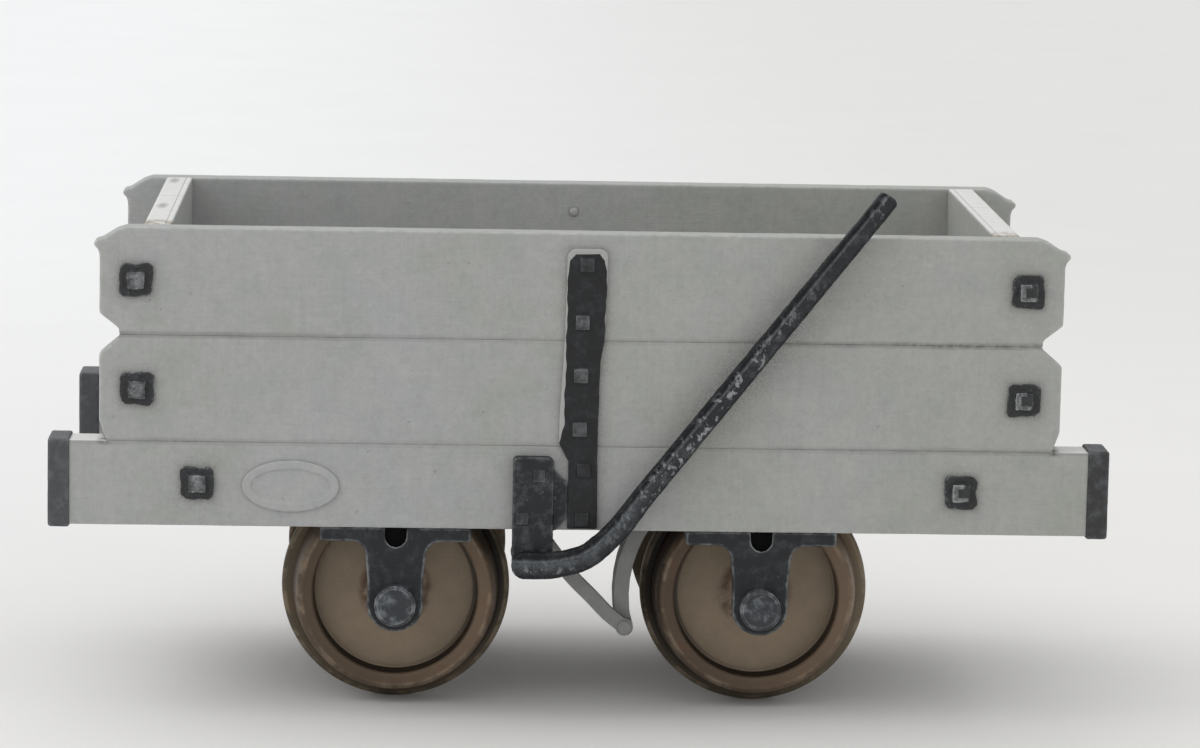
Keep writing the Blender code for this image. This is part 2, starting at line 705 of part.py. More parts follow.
def brake_brackets(iron):
    """The casting on each solebar that carries the cross shaft: a block, a side wing and a boss."""
    left, right, top = -0.147, -0.058, 0.590
    outline = [(left, top - 0.006), (left + 0.006, top), (right - 0.010, top)]
    outline += [(right, top - 0.010), (right, 0.372)]
    outline += arc(LEVER_PIVOT, 0.028, -35, -180, 6)
    back = -HALF_WIDTH - GAP
    block = prism(outline, -BRACKET_FACE, back, bevel=0.002)
    wing_outline = [(right - 0.005, 0.566), (-0.0275, 0.530), (-0.0275, 0.455), (-0.050, 0.4265)]
    wing_outline += [(right - 0.005, 0.4265)]
    wing = prism(wing_outline, back - 0.010, back)
    boss = rod(0.026, -BRACKET_FACE + 0.010, -SOLE_INNER - 0.040, LEVER_PIVOT, segments=16)
    bore = rod(SHAFT_RADIUS + HOLE_CLEARANCE, -0.6, -0.3, LEVER_PIVOT, segments=16, hole=True)
    bolts = []
    for x, z in BRACKET_BOLTS:
        bolts.append(rod(SCREW_RADIUS, -BRACKET_FACE + 0.010, -SOLE_INNER + 0.008, (x, z), segments=8))
        bolts.append(prism(centred_square((x, z), 0.026), -BRACKET_FACE - 0.007, -BRACKET_FACE + 0.002))
        bolts.append(prism(centred_square((x, z), 0.026), -SOLE_INNER + GAP, -SOLE_INNER + 0.012))
    near = combined("brake_bracket_near", iron, block, add=[wing, boss, *bolts], cut=[bore])
    mirrored(near, "brake_bracket_far", "Y")


def lever_outline():
    """A foot about the pivot, an easy upward bend, then a straight handle that tapers a little."""
    bend = [(-0.119, 0.356), (-0.062, 0.356), (0.000, 0.370), (0.037, 0.393), (0.086, 0.442), (0.132, 0.505)]
    path = smooth_path([Vector(point) for point in bend], 3)
    handle_end = Vector((0.654, 1.169))
    for share in (0.25, 0.5, 0.75, 1.0):
        path.append(Vector(bend[-1]).lerp(handle_end, share))
    last = len(path) - 1
    widths = [0.0295 - 0.0075 * index / last for index in range(last + 1)]
    left, right = band(path, widths)
    foot = arc(path[0], widths[0], 270, 90, 8)[1:-1]
    along = (path[-1] - path[-2]).normalized()
    tip = [tuple(Vector(left[-1]) + along * 0.004), tuple(Vector(right[-1]) + along * 0.010)]
    tip[0] = tuple(Vector(tip[0]).lerp(Vector(right[-1]), 0.12))
    tip[1] = tuple(Vector(tip[1]).lerp(Vector(left[-1]), 0.25))
    return right + tip[::-1] + left[::-1] + foot[::-1]


def brake_lever(iron, empty):
    outer = LEVER_INNER + LEVER_THICKNESS
    blade = prism(lever_outline(), -outer, -LEVER_INNER, bevel=0.003)
    socket = rod(SHAFT_RADIUS + GAP, -outer + 0.008, -0.5, LEVER_PIVOT, segments=16, hole=True)
    attach(combined("brake_lever", iron, blade, cut=[socket]), empty)


def brake_shaft(iron, empty):
    """The cross shaft, with a collar outside the far bracket."""
    near_end = -(LEVER_INNER + LEVER_THICKNESS - 0.0085)
    collar = (BRACKET_FACE + 0.001, BRACKET_FACE + 0.014)
    profile = [
        (0.0, near_end),
        (SHAFT_RADIUS, near_end),
        (SHAFT_RADIUS, collar[0]),
        (0.024, collar[0]),
        (0.024, collar[1]),
        (SHAFT_RADIUS, collar[1]),
        (SHAFT_RADIUS, SHAFT_END - 0.002),
        (SHAFT_RADIUS - 0.002, SHAFT_END),
        (0.0, SHAFT_END),
    ]
    attach(combined("brake_shaft", iron, turned(profile, LEVER_PIVOT, segments=16)), empty)


def two_circle_outline(first, first_radius, second, second_radius):
    """The outline of an arm between two round ends."""
    direction = math.degrees(math.atan2(second.y - first.y, second.x - first.x))
    outline = arc(second, second_radius, direction - 90, direction + 90, 6)
    return outline + arc(first, first_radius, direction + 90, direction + 270, 8)


def brake_crank(iron, empty):
    low, high = CRANK_PLANE
    arm = prism(two_circle_outline(LEVER_PIVOT, 0.028, crank_pin(), 0.014), -high, -low, bevel=0.002)
    bore = rod(SHAFT_RADIUS + GAP, -0.5, -0.3, LEVER_PIVOT, segments=16, hole=True)
    pin = rod(PIN_RADIUS, -high + 0.008, -ROD_PLANE[0] + 0.005, crank_pin(), segments=10)
    head = rod(0.011, -ROD_PLANE[0] + GAP, -ROD_PLANE[0] + 0.007, crank_pin(), segments=10)
    attach(combined("brake_crank", iron, arm, add=[pin, head], cut=[bore]), empty)


def push_rod(paint, empty):
    """A bowed flat rod with an eye at each end. The lower eye has play round the shoe's pin."""
    bend = [(-0.048, 0.347), (-0.013, 0.300), (0.032, 0.255), (0.070, 0.216)]
    points = [crank_pin()] + [Vector(point) for point in bend] + [SHOE_PIN]
    path = smooth_path(points, 3)
    left, right = band(path, [ROD_HALF_WIDTH] * len(path))
    low, high = ROD_PLANE
    blade = prism(right + left[::-1], -high, -low)
    upper_eye = rod(0.018, -high, -low, crank_pin(), segments=16)
    lower_eye = rod(0.020, -high, -low, SHOE_PIN, segments=16)
    upper_hole = rod(PIN_RADIUS + HOLE_CLEARANCE, -0.5, -0.3, crank_pin(), segments=12, hole=True)
    lower_hole = rod(OPEN_EYE_RADIUS, -0.5, -0.3, SHOE_PIN, segments=16, hole=True)
    piece = combined("push_rod", paint, blade, add=[upper_eye, lower_eye], cut=[upper_hole, lower_hole])
    attach(piece, empty)


def brake_shoe(paint, empty):
    """A curved block hung in front of the near right wheel's tread, with the rod's pin at its foot."""
    centre = Vector((AXLE_X, FLANGE_RADIUS))
    start, end = (
        math.degrees(math.atan2(point.y - centre.y, point.x - centre.x)) % 360
        for point in (SHOE_PIVOT, SHOE_PIN)
    )
    outline = arc(centre, SHOE_RADIUS - SHOE_HALF_DEPTH, start, end, 8)
    outline += arc(centre, SHOE_RADIUS + SHOE_HALF_DEPTH, end, start, 8)
    low, high = SHOE_PLANE
    block = prism(outline, -high, -low, bevel=0.002)
    head = rod(0.022, -high, -low, SHOE_PIVOT, segments=16)
    foot = rod(0.0195, -high, -low, SHOE_PIN, segments=16)
    pin = rod(PIN_RADIUS, -high + 0.010, -high - 0.026, SHOE_PIN, segments=10)
    pin_end = rod(0.0155, -high - 0.0265, -high - 0.0216, SHOE_PIN, segments=12)
    bore = rod(0.009 + HOLE_CLEARANCE, -0.5, -0.2, SHOE_PIVOT, segments=12, hole=True)
    attach(combined("brake_shoe", paint, block, add=[head, foot, pin, pin_end], cut=[bore]), empty)


def shoe_hanger(iron):
    """The plate and pin on the inside of the near solebar that the shoe hangs from."""
    face = -SOLE_INNER + GAP
    plate = box((0.128, face, 0.4275), (0.228, face + 0.008, 0.4960), 0.001)
    boss = rod(0.018, face + 0.004, -SHOE_PLANE[1] - 0.001, SHOE_PIVOT, segments=16)
    pin = rod(0.009, face + 0.006, -SHOE_PLANE[0] + 0.006, SHOE_PIVOT, segments=12)
    head = rod(0.015, -SHOE_PLANE[0] + 0.001, -SHOE_PLANE[0] + 0.008, SHOE_PIVOT, segments=12)
    screws = []
    for x, z in HANGER_SCREWS:
        screws.append(rod(SCREW_RADIUS, -SOLE_INNER - 0.038, face + 0.006, (x, z), segments=8))
        screws.append(prism(centred_square((x, z), 0.022), face + 0.005, face + 0.015))
    combined("shoe_hanger", iron, plate, add=[boss, pin, head, *screws])


def attach(piece, empty):
    """Parents a piece to the empty on its joint's axis, with the piece's origin there too."""
    set_origin(piece, empty.location)
    piece.parent = empty
    piece.location = (0.0, 0.0, 0.0)


def joint_empty(name, point):
    empty = bpy.data.objects.new(name, None)
    bpy.context.scene.collection.objects.link(empty)
    empty.empty_display_size = 0.05
    empty.location = (point[0], 0.0, point[1])
    return empty


# ---- Draw gear -----------------------------------------------------------------------------
def draw_hook(iron):
    """A drawbar through the headstock, with its nut behind and an open hook in front."""
    centre = (HOOK_CENTRE_X, HOOK_CENTRE_Z)
    base_x = END_OUTER + 0.004
    low_z = HOOK_CENTRE_Z - HOOK_OUTER_RADIUS
    outline = [(base_x, low_z + 0.004)]
    outline += arc(centre, HOOK_OUTER_RADIUS, -90, 0, 5)
    outline += [(1.066, 0.5140), (1.050, 0.5140)]
    outline += arc(centre, HOOK_MOUTH_RADIUS, 0, -180, 6)
    outline += [(HOOK_CENTRE_X - HOOK_MOUTH_RADIUS, 0.510), (base_x, 0.500)]
    half = HOOK_THICKNESS / 2
    hook = prism(outline, -half, half, bevel=0.002)
    face = END_OUTER + GAP
    plate = prism(centred_square((0.0, DRAW_HEIGHT), 0.090), face, face + 0.010, "X", 0.002)
    back = END_OUTER - HEADSTOCK_THICKNESS - GAP
    washer = prism(centred_square((0.0, DRAW_HEIGHT), 0.076), back - 0.009, back, "X", 0.001)
    nut = prism(centred_square((0.0, DRAW_HEIGHT), 0.040), back - 0.026, back - 0.007, "X", 0.002)
    shank = rod(0.014, back - 0.008, face + 0.008, (0.0, DRAW_HEIGHT), "X", 12)
    right = combined("draw_hook_right", iron, hook, add=[plate, shank, washer, nut])
    mirrored(right, "draw_hook_left", "X")


def coupling_link(iron, name, sign):
    """A long welded link that hangs from the hook and swings along the track."""
    top_z = HOOK_CENTRE_Z - HOOK_MOUTH_RADIUS + LINK_WIRE_RADIUS + GAP
    corner = 0.012
    side = LINK_HALF_WIDTH - corner
    points = arc((side, -corner), corner, 90, 0, 3)
    points += arc((0.0, -LINK_LENGTH + LINK_HALF_WIDTH), LINK_HALF_WIDTH, 0, -180, 8)
    points += arc((-side, -corner), corner, 180, 90, 3)
    curve = bpy.data.curves.new(name, "CURVE")
    curve.dimensions = "3D"
    curve.bevel_depth = LINK_WIRE_RADIUS
    curve.bevel_resolution = 2
    spline = curve.splines.new("POLY")
    spline.points.add(len(points) - 1)
    for target, (y, z) in zip(spline.points, points):
        target.co = (0.0, y, z, 1.0)
    spline.use_cyclic_u = True
    curve.materials.append(iron)
    link = bpy.data.objects.new(name, curve)
    bpy.context.scene.collection.objects.link(link)
    link.location = (sign * HOOK_CENTRE_X, 0.0, top_z)


# ---- The wagon -----------------------------------------------------------------------------
def main():
    clear_scene()
    timber = principled("pale_grey_timber", (0.36, 0.36, 0.35), 0.75, 0.0)
    iron = principled("black_iron", (0.030, 0.032, 0.036), 0.55, 0.3)
    wheel_iron = principled("brown_cast_iron", (0.15, 0.11, 0.075), 0.5, 0.5)
    steel = principled("axle_steel", (0.10, 0.09, 0.08), 0.45, 0.8)
    grey_iron = principled("grey_painted_iron", (0.24, 0.24, 0.235), 0.65, 0.0)

    side_planks(timber)
    ends(timber)
    floor(timber)
    solebars(timber)
    crossmembers(timber)
    buffer_caps(iron)
    tie_rods(iron)
    side_straps(iron)
    corner_irons(iron)
    oval_plate(timber)

    wheelsets(wheel_iron, steel)
    pedestals(iron)
    bearing_bushes(iron)

    lever_joint = joint_empty("brake_lever_joint", LEVER_PIVOT)
    rod_joint = joint_empty("push_rod_joint", crank_pin())
    shoe_joint = joint_empty("brake_shoe_joint", SHOE_PIVOT)
    brake_brackets(iron)
    brake_lever(iron, lever_joint)
    brake_shaft(iron, lever_joint)
    brake_crank(iron, lever_joint)
    push_rod(grey_iron, rod_joint)
    brake_shoe(grey_iron, shoe_joint)
    shoe_hanger(iron)

    draw_hook(iron)
    coupling_link(iron, "coupling_link_right", 1)
    coupling_link(iron, "coupling_link_left", -1)


main()
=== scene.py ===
"""Looks of a narrow-gauge two-plank mine wagon: painted timber, black iron and brown cast wheels.

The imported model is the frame. Each CAD part is refined into a fine mesh in its own place, or is turned
anew from its own size, and gets a procedural material. +X is along the track, -Y is the lever's side.
"""
import json
import math

import bmesh
import bpy
import numpy as np
from mathutils import Matrix, Vector


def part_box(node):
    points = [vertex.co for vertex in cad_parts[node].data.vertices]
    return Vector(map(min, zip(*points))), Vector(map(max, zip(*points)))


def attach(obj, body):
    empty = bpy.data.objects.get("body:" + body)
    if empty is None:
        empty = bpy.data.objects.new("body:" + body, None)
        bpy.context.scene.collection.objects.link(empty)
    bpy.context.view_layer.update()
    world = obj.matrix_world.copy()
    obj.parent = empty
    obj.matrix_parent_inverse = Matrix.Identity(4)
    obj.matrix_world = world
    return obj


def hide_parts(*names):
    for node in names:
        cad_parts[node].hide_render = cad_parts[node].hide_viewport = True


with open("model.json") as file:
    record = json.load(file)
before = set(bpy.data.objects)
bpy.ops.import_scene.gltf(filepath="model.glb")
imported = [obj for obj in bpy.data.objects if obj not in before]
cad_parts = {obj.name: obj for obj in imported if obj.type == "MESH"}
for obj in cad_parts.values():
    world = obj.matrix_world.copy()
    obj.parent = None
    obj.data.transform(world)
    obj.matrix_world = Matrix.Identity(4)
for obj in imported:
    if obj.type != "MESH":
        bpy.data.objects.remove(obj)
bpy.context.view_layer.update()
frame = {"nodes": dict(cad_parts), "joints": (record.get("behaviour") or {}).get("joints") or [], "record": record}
NODES = frame["nodes"]
BODIES = {
    node: body
    for body, members in frame["record"]["behaviour"]["bodies"].items()
    for node in members
}
PIVOTS = {joint["name"]: Vector(joint["pos_m"]) for joint in frame["joints"]}
SIDES = ("near", "far")
ENDS = ("left", "right")

# ---- Sizes read from the frame, in metres ----
TOP_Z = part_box("side_plank_near_upper")[1].z
JOINT_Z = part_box("side_plank_near_lower")[1].z
SOLE_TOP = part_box("solebar_near")[1].z
SOLE_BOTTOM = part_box("solebar_near")[0].z
END_SEAM_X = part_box("end_plank_right_upper")[0].x
END_TOP_X = (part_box("end_lining_right")[0].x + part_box("end_plank_right_upper")[1].x) / 2
SIDE_FACE = -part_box("side_plank_near_upper")[0].y
WHEEL_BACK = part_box("wheel_far_left")[0].y
RIM_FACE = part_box("wheel_far_left")[1].y

# ---- Sizes and places of the finer things, in metres ----
PLATE_HALF = 0.037          # half the side of a square washer plate
NUT_HALF = 0.019            # half the side of a square nut
NUT_FACE = 0.0120           # a plate nut's outer part starts this far off the side planks
BRACKET_NUT_FACE = 0.0295
PLANK_FOOT_X = 1.034        # where the lower side planks end above the solebars
STAIN_Y = -0.462            # of the rusty corners on the end planks' tops
NAIL_YS = (-0.12, 0.40)     # of the nail marks on the left end's top
NAIL_OFFSET = 0.008         # of those marks from the top's middle line
SCRATCH_Y = 0.085
FAINT_JOINT_X = 0.05        # where the side planks' joints are faintest
JOINTS = ((JOINT_Z, 1.0), (SOLE_TOP, 0.6))      # height and strength
JOINT_WANDER = 0.0019       # how far the dirt strays up and down
JOINT_BAND = 0.0115         # half the height of the soft band
JOINT_LINE = 0.0075         # and of the dirty line in it
JOINT_REACH = 0.008         # of the filled faces above and below a joint
JOINT_CORNER = 0.0035       # of its filled corners
JOINT_LIPS = (-0.0001, 0.0004)      # the filled lips, from the joint's height
SEAM_REACH = 0.006          # of the filled tops on either side of the seam in an end
SEAM_CORNER = 0.0032
SEAM_DEPTH = 0.008
SEAM_LIPS = (0.00005, -0.00035)     # the plank's lip and the lining's, from the seam
PAINT_SUNK = 0.0004         # filled faces lie this far inside the timber's own
OUTER_SKIN = 0.007          # depth of a rounded corner on the side planks' face
TOP_SKIN = 0.004
NOTCH_HALF = 0.0245         # half the width of the black notch in a pedestal
NOTCH_DEPTH = 0.0460
NOTCH_BACK = 0.0025         # the notch's floor is at least this far behind the pedestal's face

# ---- Fineness ----
WELD = 1e-5
TIMBER_VOXEL = 0.004
SEAM_VOXEL = 0.0035         # of the end planks and their linings
FLOOR_VOXEL = 0.006
IRON_VOXEL = 0.0016
CASTING_VOXEL = 0.002       # of the pedestals and buffer caps
AXLE_VOXEL = 0.003
SMALL_VOXEL = 0.0012
WEAR_STEPS = 8              # smoothing steps that tell a convex edge from a flat

# Lumps are (depth, size) pairs. The deepest are thick paint brushed on by hand.
BOARD_LUMPS = ((0.0012, 0.25), (0.0010, 0.05))
BRUSHED_LUMPS = ((0.0060, 0.030), (0.0025, 0.010))
STRAP_LUMPS = ((0.0025, 0.03), (0.001, 0.01))
LEVER_LUMPS = ((0.0022, 0.02), (0.0010, 0.006))
CAST_LUMPS = ((0.0012, 0.03), (0.0006, 0.008))
PLATE_LUMPS = ((0.0010, 0.02),)
FORGED_LUMPS = ((0.0005, 0.01),)
TURNED_LUMPS = ((0.0004, 0.01),)
AXLE_LUMPS = ((0.0004, 0.02),)
BRAKE_LUMPS = ((0.0003, 0.01),)

# ---- The wheels ----
WHEEL_SEGMENTS = 144
PROFILE_STEP = 0.0025
CORNER_STEPS = 5
WEB_BACK = WHEEL_BACK + 0.036
WEB_FACE = WHEEL_BACK + 0.070
FLANGE_FACE = WHEEL_BACK + 0.025
BORE, HUB_RADIUS, HUB_FOOT = 0.030, 0.078, 0.110
WEB_EDGE, RIM_EDGE = 0.1805, 0.1855         # radii of the web's rim corner and of the rim's inner edge
TREAD_ROOT, TREAD_FRONT = 0.900, 0.862      # as shares of the flange's radius
RECESS_INNER, RECESS_OUTER, RECESS_DRAFT = 0.090, 0.187, 0.003      # of the web's back

# Each of these looks sets in between its two radii.
RIM_TONE = (WEB_EDGE - 0.0005, WEB_EDGE + 0.0025)
RIM_RUST = (RIM_EDGE - 0.0005, RIM_EDGE + 0.0045)
RIM_METAL = (0.180, 0.190)
RIM_WEAR = (0.195, 0.205)
FLANGE_TONE = (0.226, 0.236)
CORNER_DARK = (0.100, 0.140)

# ---- Colours, linear ----
PAINT = (0.372, 0.376, 0.364)
PAINT_GREEN = (0.362, 0.372, 0.348)
PAINT_BLUE = (0.364, 0.372, 0.376)
# Painted shade: the paint is tinted by this, warmer and a little darker, towards the right
RIGHT_SHADE_TINT = (0.985, 0.985, 0.955)          # a tint, which the paint is multiplied by
PAINT_SHADE = (0.205, 0.206, 0.199)
PAINT_WORN = (0.58, 0.585, 0.565)
PAINT_PALE = (0.66, 0.66, 0.64)
# Dark marks, and also the colour of painted shade in corners and round raised parts
GRIME_AND_SHADE = (0.055, 0.050, 0.044)
STAIN = (0.22, 0.17, 0.11)
DUST = (0.20, 0.17, 0.13)
BLACK = (0.017, 0.0175, 0.019)
# the near black of painted shade
SHADE_BLACK = (0.005, 0.005, 0.006)
LEVER_BLACK = (0.012, 0.0135, 0.016)
LEVER_PALE = (0.12, 0.13, 0.14)
GUARD_BLACK = (0.012, 0.0130, 0.015)
GUARD_PALE = (0.100, 0.108, 0.118)
BEARING_BLACK = (0.026, 0.029, 0.034)
BEARING_PALE = (0.22, 0.24, 0.26)
BRACKET_BLACK = (0.012, 0.013, 0.015)
STRAP_BLACK = (0.014, 0.0145, 0.0155)
CAP_BLACK = (0.028, 0.028, 0.029)
CAP_BLACK_LEFT = (0.058, 0.061, 0.066)
CAP_PALE = (0.13, 0.14, 0.15)
SLATE = (0.030, 0.034, 0.040)
SLATE_PALE = (0.150, 0.168, 0.185)
IRON_WORN = (0.34, 0.355, 0.36)
NUT_GREY = (0.175, 0.182, 0.185)
ROD_GREY = (0.235, 0.235, 0.225)
STEEL_DARK = (0.050, 0.040, 0.032)
STEEL_BROWN = (0.10, 0.075, 0.055)
TAN = (0.284, 0.218, 0.149)
BRONZE = (0.146, 0.102, 0.069)
FLANGE_BROWN = (0.130, 0.104, 0.070)
DARK_BROWN = (0.010, 0.007, 0.006)
WHEEL_WORN = (0.36, 0.29, 0.21)
RUST = (0.150, 0.055, 0.022)
HUB_RUST = (0.085, 0.042, 0.024)
# Painted light and shade on the floor: its colours in front and far behind
FLOOR_FRONT = ((0.755, 0.746, 0.741), (0.800, 0.787, 0.767))       # on the left and on the right
FLOOR_BACK = ((0.855, 0.857, 0.862), (0.725, 0.720, 0.710))


# ---- Shader nodes ----
class Shader:
    """A material's node tree, with short calls for the nodes that the finishes below use."""

    def __init__(self, name):
        self.material = bpy.data.materials.new(name)
        self.material.use_nodes = True
        self.nodes = self.material.node_tree.nodes
        self.links = self.material.node_tree.links
        self.surface = self.nodes["Principled BSDF"]
        coordinates = self.nodes.new("ShaderNodeTexCoord")
        self.place = coordinates.outputs["Object"]
        self.normal = coordinates.outputs["Normal"]

    def plug(self, socket, value):
        if isinstance(value, bpy.types.NodeSocket):
            self.links.new(value, socket)
        elif isinstance(value, tuple) and len(value) == 3 and len(socket.default_value) == 4:
            socket.default_value = (*value, 1.0)
        else:
            socket.default_value = value

    def node(self, kind, *inputs, **settings):
        """The outputs of a new node, made with its settings and with (socket, value) pairs plugged in."""
        node = self.nodes.new("ShaderNode" + kind)
        for name, setting in settings.items():
            setattr(node, name, setting)
        for socket, value in inputs:
            self.plug(node.inputs[socket], value)
        return node.outputs

    def math(self, operation, first, second=0.5):
        return self.node("Math", (0, first), (1, second), operation=operation)[0]

    def vector(self, operation, first, second=(0.0, 0.0, 0.0)):
        outputs = self.node("VectorMath", (0, first), (1, second), operation=operation)
        return outputs["Value" if operation == "LENGTH" else "Vector"]

    def axis(self, name, vector=None):
        """A coordinate, X, Y or Z, of the point being shaded, or that part of a given vector."""
        return self.node("SeparateXYZ", (0, vector or self.place))[name]

    def attribute(self, name):
        return self.node("Attribute", attribute_name=name)["Fac"]

    def noise(self, scale, detail=3.0, roughness=0.55, stretch=(1.0, 1.0, 1.0), shift=0.0):
        """Noise with scale features to the metre, stretched along an axis where stretch is below 1."""
        moved = (("Vector", self.place), ("Scale", stretch), ("Location", (shift, shift, shift)))
        mapped = self.node("Mapping", *moved)[0]
        inputs = (("Vector", mapped), ("Scale", scale), ("Detail", detail), ("Roughness", roughness))
        return self.node("TexNoise", *inputs)["Fac"]

    def ramp(self, value, low, high, to_low=0.0, to_high=1.0):
        """value rescaled smoothly from low..high to to_low..to_high, and held outside it."""
        limits = (("From Min", low), ("From Max", high), ("To Min", to_low), ("To Max", to_high))
        return self.node("MapRange", ("Value", value), *limits, interpolation_type="SMOOTHSTEP")[0]

    def distance(self, value, centre):
        return self.math("ABSOLUTE", self.math("SUBTRACT", value, centre))

    def near(self, value, centre, width):
        """1 where value is at centre, falling to 0 at width from it."""
        return self.ramp(self.distance(value, centre), 0.0, width, 1.0, 0.0)

    def mix(self, share, first, second):
        """The colour first, turning into second as share goes from 0 to 1."""
        return self.node("Mix", ("Factor", share), (6, first), (7, second), data_type="RGBA")[2]

    def spot(self, centre, radius, soft, squeeze=(1.0, 1.0, 1.0)):
        """1 within radius of a point, falling to 0 over soft beyond it, and longer where squeezed."""
        offset = self.vector("MULTIPLY", self.vector("SUBTRACT", self.place, centre), squeeze)
        return self.ramp(self.vector("LENGTH", offset), radius, radius + soft, 1.0, 0.0)

    def times(self, *values):
        product = values[0]
        for value in values[1:]:
            product = self.math("MULTIPLY", product, value)
        return product

    def shade(self, colour, value, low, high):
        """colour made darker or lighter by value, which runs from 0 to 1."""
        grey = self.ramp(value, 0.0, 1.0, low, high)
        return self.node("VectorMath", (0, colour), ("Scale", grey), operation="SCALE")["Vector"]

    def bump(self, *layers):
        """Bump from (height, distance in metres) layers, on top of one another."""
        below = ()
        for height, distance in layers:
            inputs = (("Strength", 1.0), ("Distance", distance), ("Height", height))
            normal = self.node("Bump", *inputs, *below)[0]
            below = (("Normal", normal),)
        self.plug(self.surface.inputs["Normal"], normal)

    def finish(self, colour, roughness, metallic=0.0, specular=0.5):
        self.plug(self.surface.inputs["Base Color"], colour)
        self.plug(self.surface.inputs["Roughness"], roughness)
        self.plug(self.surface.inputs["Metallic"], metallic)
        self.plug(self.surface.inputs["Specular IOR Level"], specular)
        return self.material


# ---- Materials: painted timber ----
ALONG = {"X": (0.06, 1.0, 1.0), "Y": (1.0, 0.06, 1.0)}
TIMBER_TONES = {            # how far each noise makes the paint darker and lighter
    "blotch": 0.05,
    "cloud": 0.06,
    "patch": 0.07,
    "fine": 0.09,
    "speck": 0.06,
    "brush": 0.03,
    "fibre": 0.03,
}


def timber_noises(shader, grain):
    """The noises that the paint's tones, wear and bumps are made of, from coarse to fine."""
    return {
        "blotch": shader.noise(3.1, 4.0, 0.6),
        "cloud": shader.noise(14.0, 4.0, 0.6, shift=3.0),
        "patch": shader.noise(30.0, 5.0, 0.7, shift=19.0),
        "fine": shader.noise(70.0, 4.0, 0.65, shift=7.0),
        "speck": shader.noise(320.0, 2.0, 0.6),
        "brush": shader.noise(150.0, 2.0, 0.5, (1.0, 1.0, 0.07)),
        "fibre": shader.noise(210.0, 4.0, 0.6, ALONG[grain]),
    }


def brushed_paint(shader, noises):
    """Grey paint between greenish and bluish, painted warmer and darker to the right as shade, uneven at every
    scale.
    """
    colour = shader.mix(shader.ramp(noises["blotch"], 0.35, 0.65), PAINT_GREEN, PAINT_BLUE)
    colour = shader.mix(shader.ramp(noises["cloud"], 0.3, 0.7, 0.2, 0.9), colour, PAINT)
    # painted shade: warmer and a little darker to the right
    to_right = shader.ramp(shader.axis("X"), -0.6, 0.9)
    colour = shader.mix(to_right, colour, shader.vector("MULTIPLY", colour, RIGHT_SHADE_TINT))
    for name, depth in TIMBER_TONES.items():
        colour = shader.shade(colour, noises[name], 1.0 - depth, 1.0 + depth)
    return colour


def joint_shade_and_dirt(shader, colour):
    """Along the planks' joints, a soft band of painted shade and a broken dirty line, which is heavier to the
    right.
    """
    wander = shader.noise(9.0, 4.0, 0.65, shift=23.0)
    wander = shader.ramp(wander, 0.3, 0.7, -JOINT_WANDER, JOINT_WANDER)
    height = shader.math("ADD", shader.axis("Z"), wander)
    heavy = shader.ramp(shader.noise(5.0, 3.0, 0.7, shift=29.0), 0.40, 0.62, 0.20, 0.8)
    heavy = shader.math("ADD", heavy, shader.ramp(shader.axis("X"), -0.2, 0.4, -0.20, 0.35))
    broken = shader.ramp(shader.noise(32.0, 3.0, 0.7), 0.36, 0.58, 0.1, 1.0)
    ends = shader.ramp(shader.distance(shader.axis("X"), FAINT_JOINT_X), 0.15, 0.80, 0.40, 1.20)
    for level, strength in JOINTS:
        # a soft band of painted shade along each joint, where the boards meet in a shallow groove
        band = shader.ramp(shader.near(height, level, JOINT_BAND), 0.0, 0.55, 0.0, 0.36 * strength)
        colour = shader.mix(shader.times(band, ends), colour, PAINT_SHADE)
        line = shader.times(shader.near(height, level, JOINT_LINE), heavy, broken, ends, 0.40 * strength)
        colour = shader.mix(line, colour, GRIME_AND_SHADE)
    return colour


def worn_and_shaded_boards(shader, colour, fine):
    """Speckled painted shade round raised parts, pale rubbed edges, painted shade in corners and a few dark
    specks.
    """
    speckle = shader.ramp(shader.noise(230.0, 2.0, 0.7, shift=31.0), 0.42, 0.60, 0.30, 1.0)
    # speckled painted shade round the plates, the strap and the lever
    colour = shader.mix(shader.times(shader.attribute("shade_haze"), speckle), colour, GRIME_AND_SHADE)
    edge = shader.attribute("edge")
    rubbed = shader.times(shader.ramp(edge, 0.15, 0.8), shader.ramp(fine, 0.35, 0.6, 0.25, 1.0), 0.6)
    colour = shader.mix(rubbed, colour, PAINT_WORN)
    # painted shade in the corners
    colour = shader.mix(shader.ramp(edge, -0.6, -0.1, 0.35, 0.0), colour, GRIME_AND_SHADE)
    specks = shader.ramp(shader.noise(55.0, 2.0, 0.5, shift=11.0), 0.72, 0.78, 0.0, 0.30)
    return shader.mix(specks, colour, GRIME_AND_SHADE)


def end_top_marks(shader, colour, patch, top):
    """A rusty corner on each end's top, and nail marks and a scratch."""
    for x in (-END_TOP_X, END_TOP_X):
        stained = shader.spot((x, STAIN_Y, TOP_Z), 0.020, 0.050, (1.0, 0.7, 1.0))
        stained = shader.times(stained, shader.ramp(patch, 0.38, 0.55), 0.8)
        colour = shader.mix(stained, colour, STAIN)
    for y in NAIL_YS:
        nail = shader.spot((-END_TOP_X - NAIL_OFFSET, y, TOP_Z), 0.003, 0.014, (1.0, 0.22, 0.3))
        colour = shader.mix(shader.times(nail, 0.45), colour, GRIME_AND_SHADE)
    scratch = shader.times(shader.near(shader.axis("Y"), SCRATCH_Y, 0.012), top, 0.15)
    return shader.mix(scratch, colour, GRIME_AND_SHADE)


def plank_foot_marks(shader, colour, patch):
    """Darker marks on the solebars' tops just past the ends of the side planks."""
    foot = shader.near(shader.distance(shader.axis("X"), 0.0), PLANK_FOOT_X, 0.022)
    foot = shader.times(foot, shader.near(shader.axis("Z"), SOLE_TOP, 0.012), shader.ramp(patch, 0.36, 0.5))
    return shader.mix(shader.times(foot, 0.8), colour, GRIME_AND_SHADE)


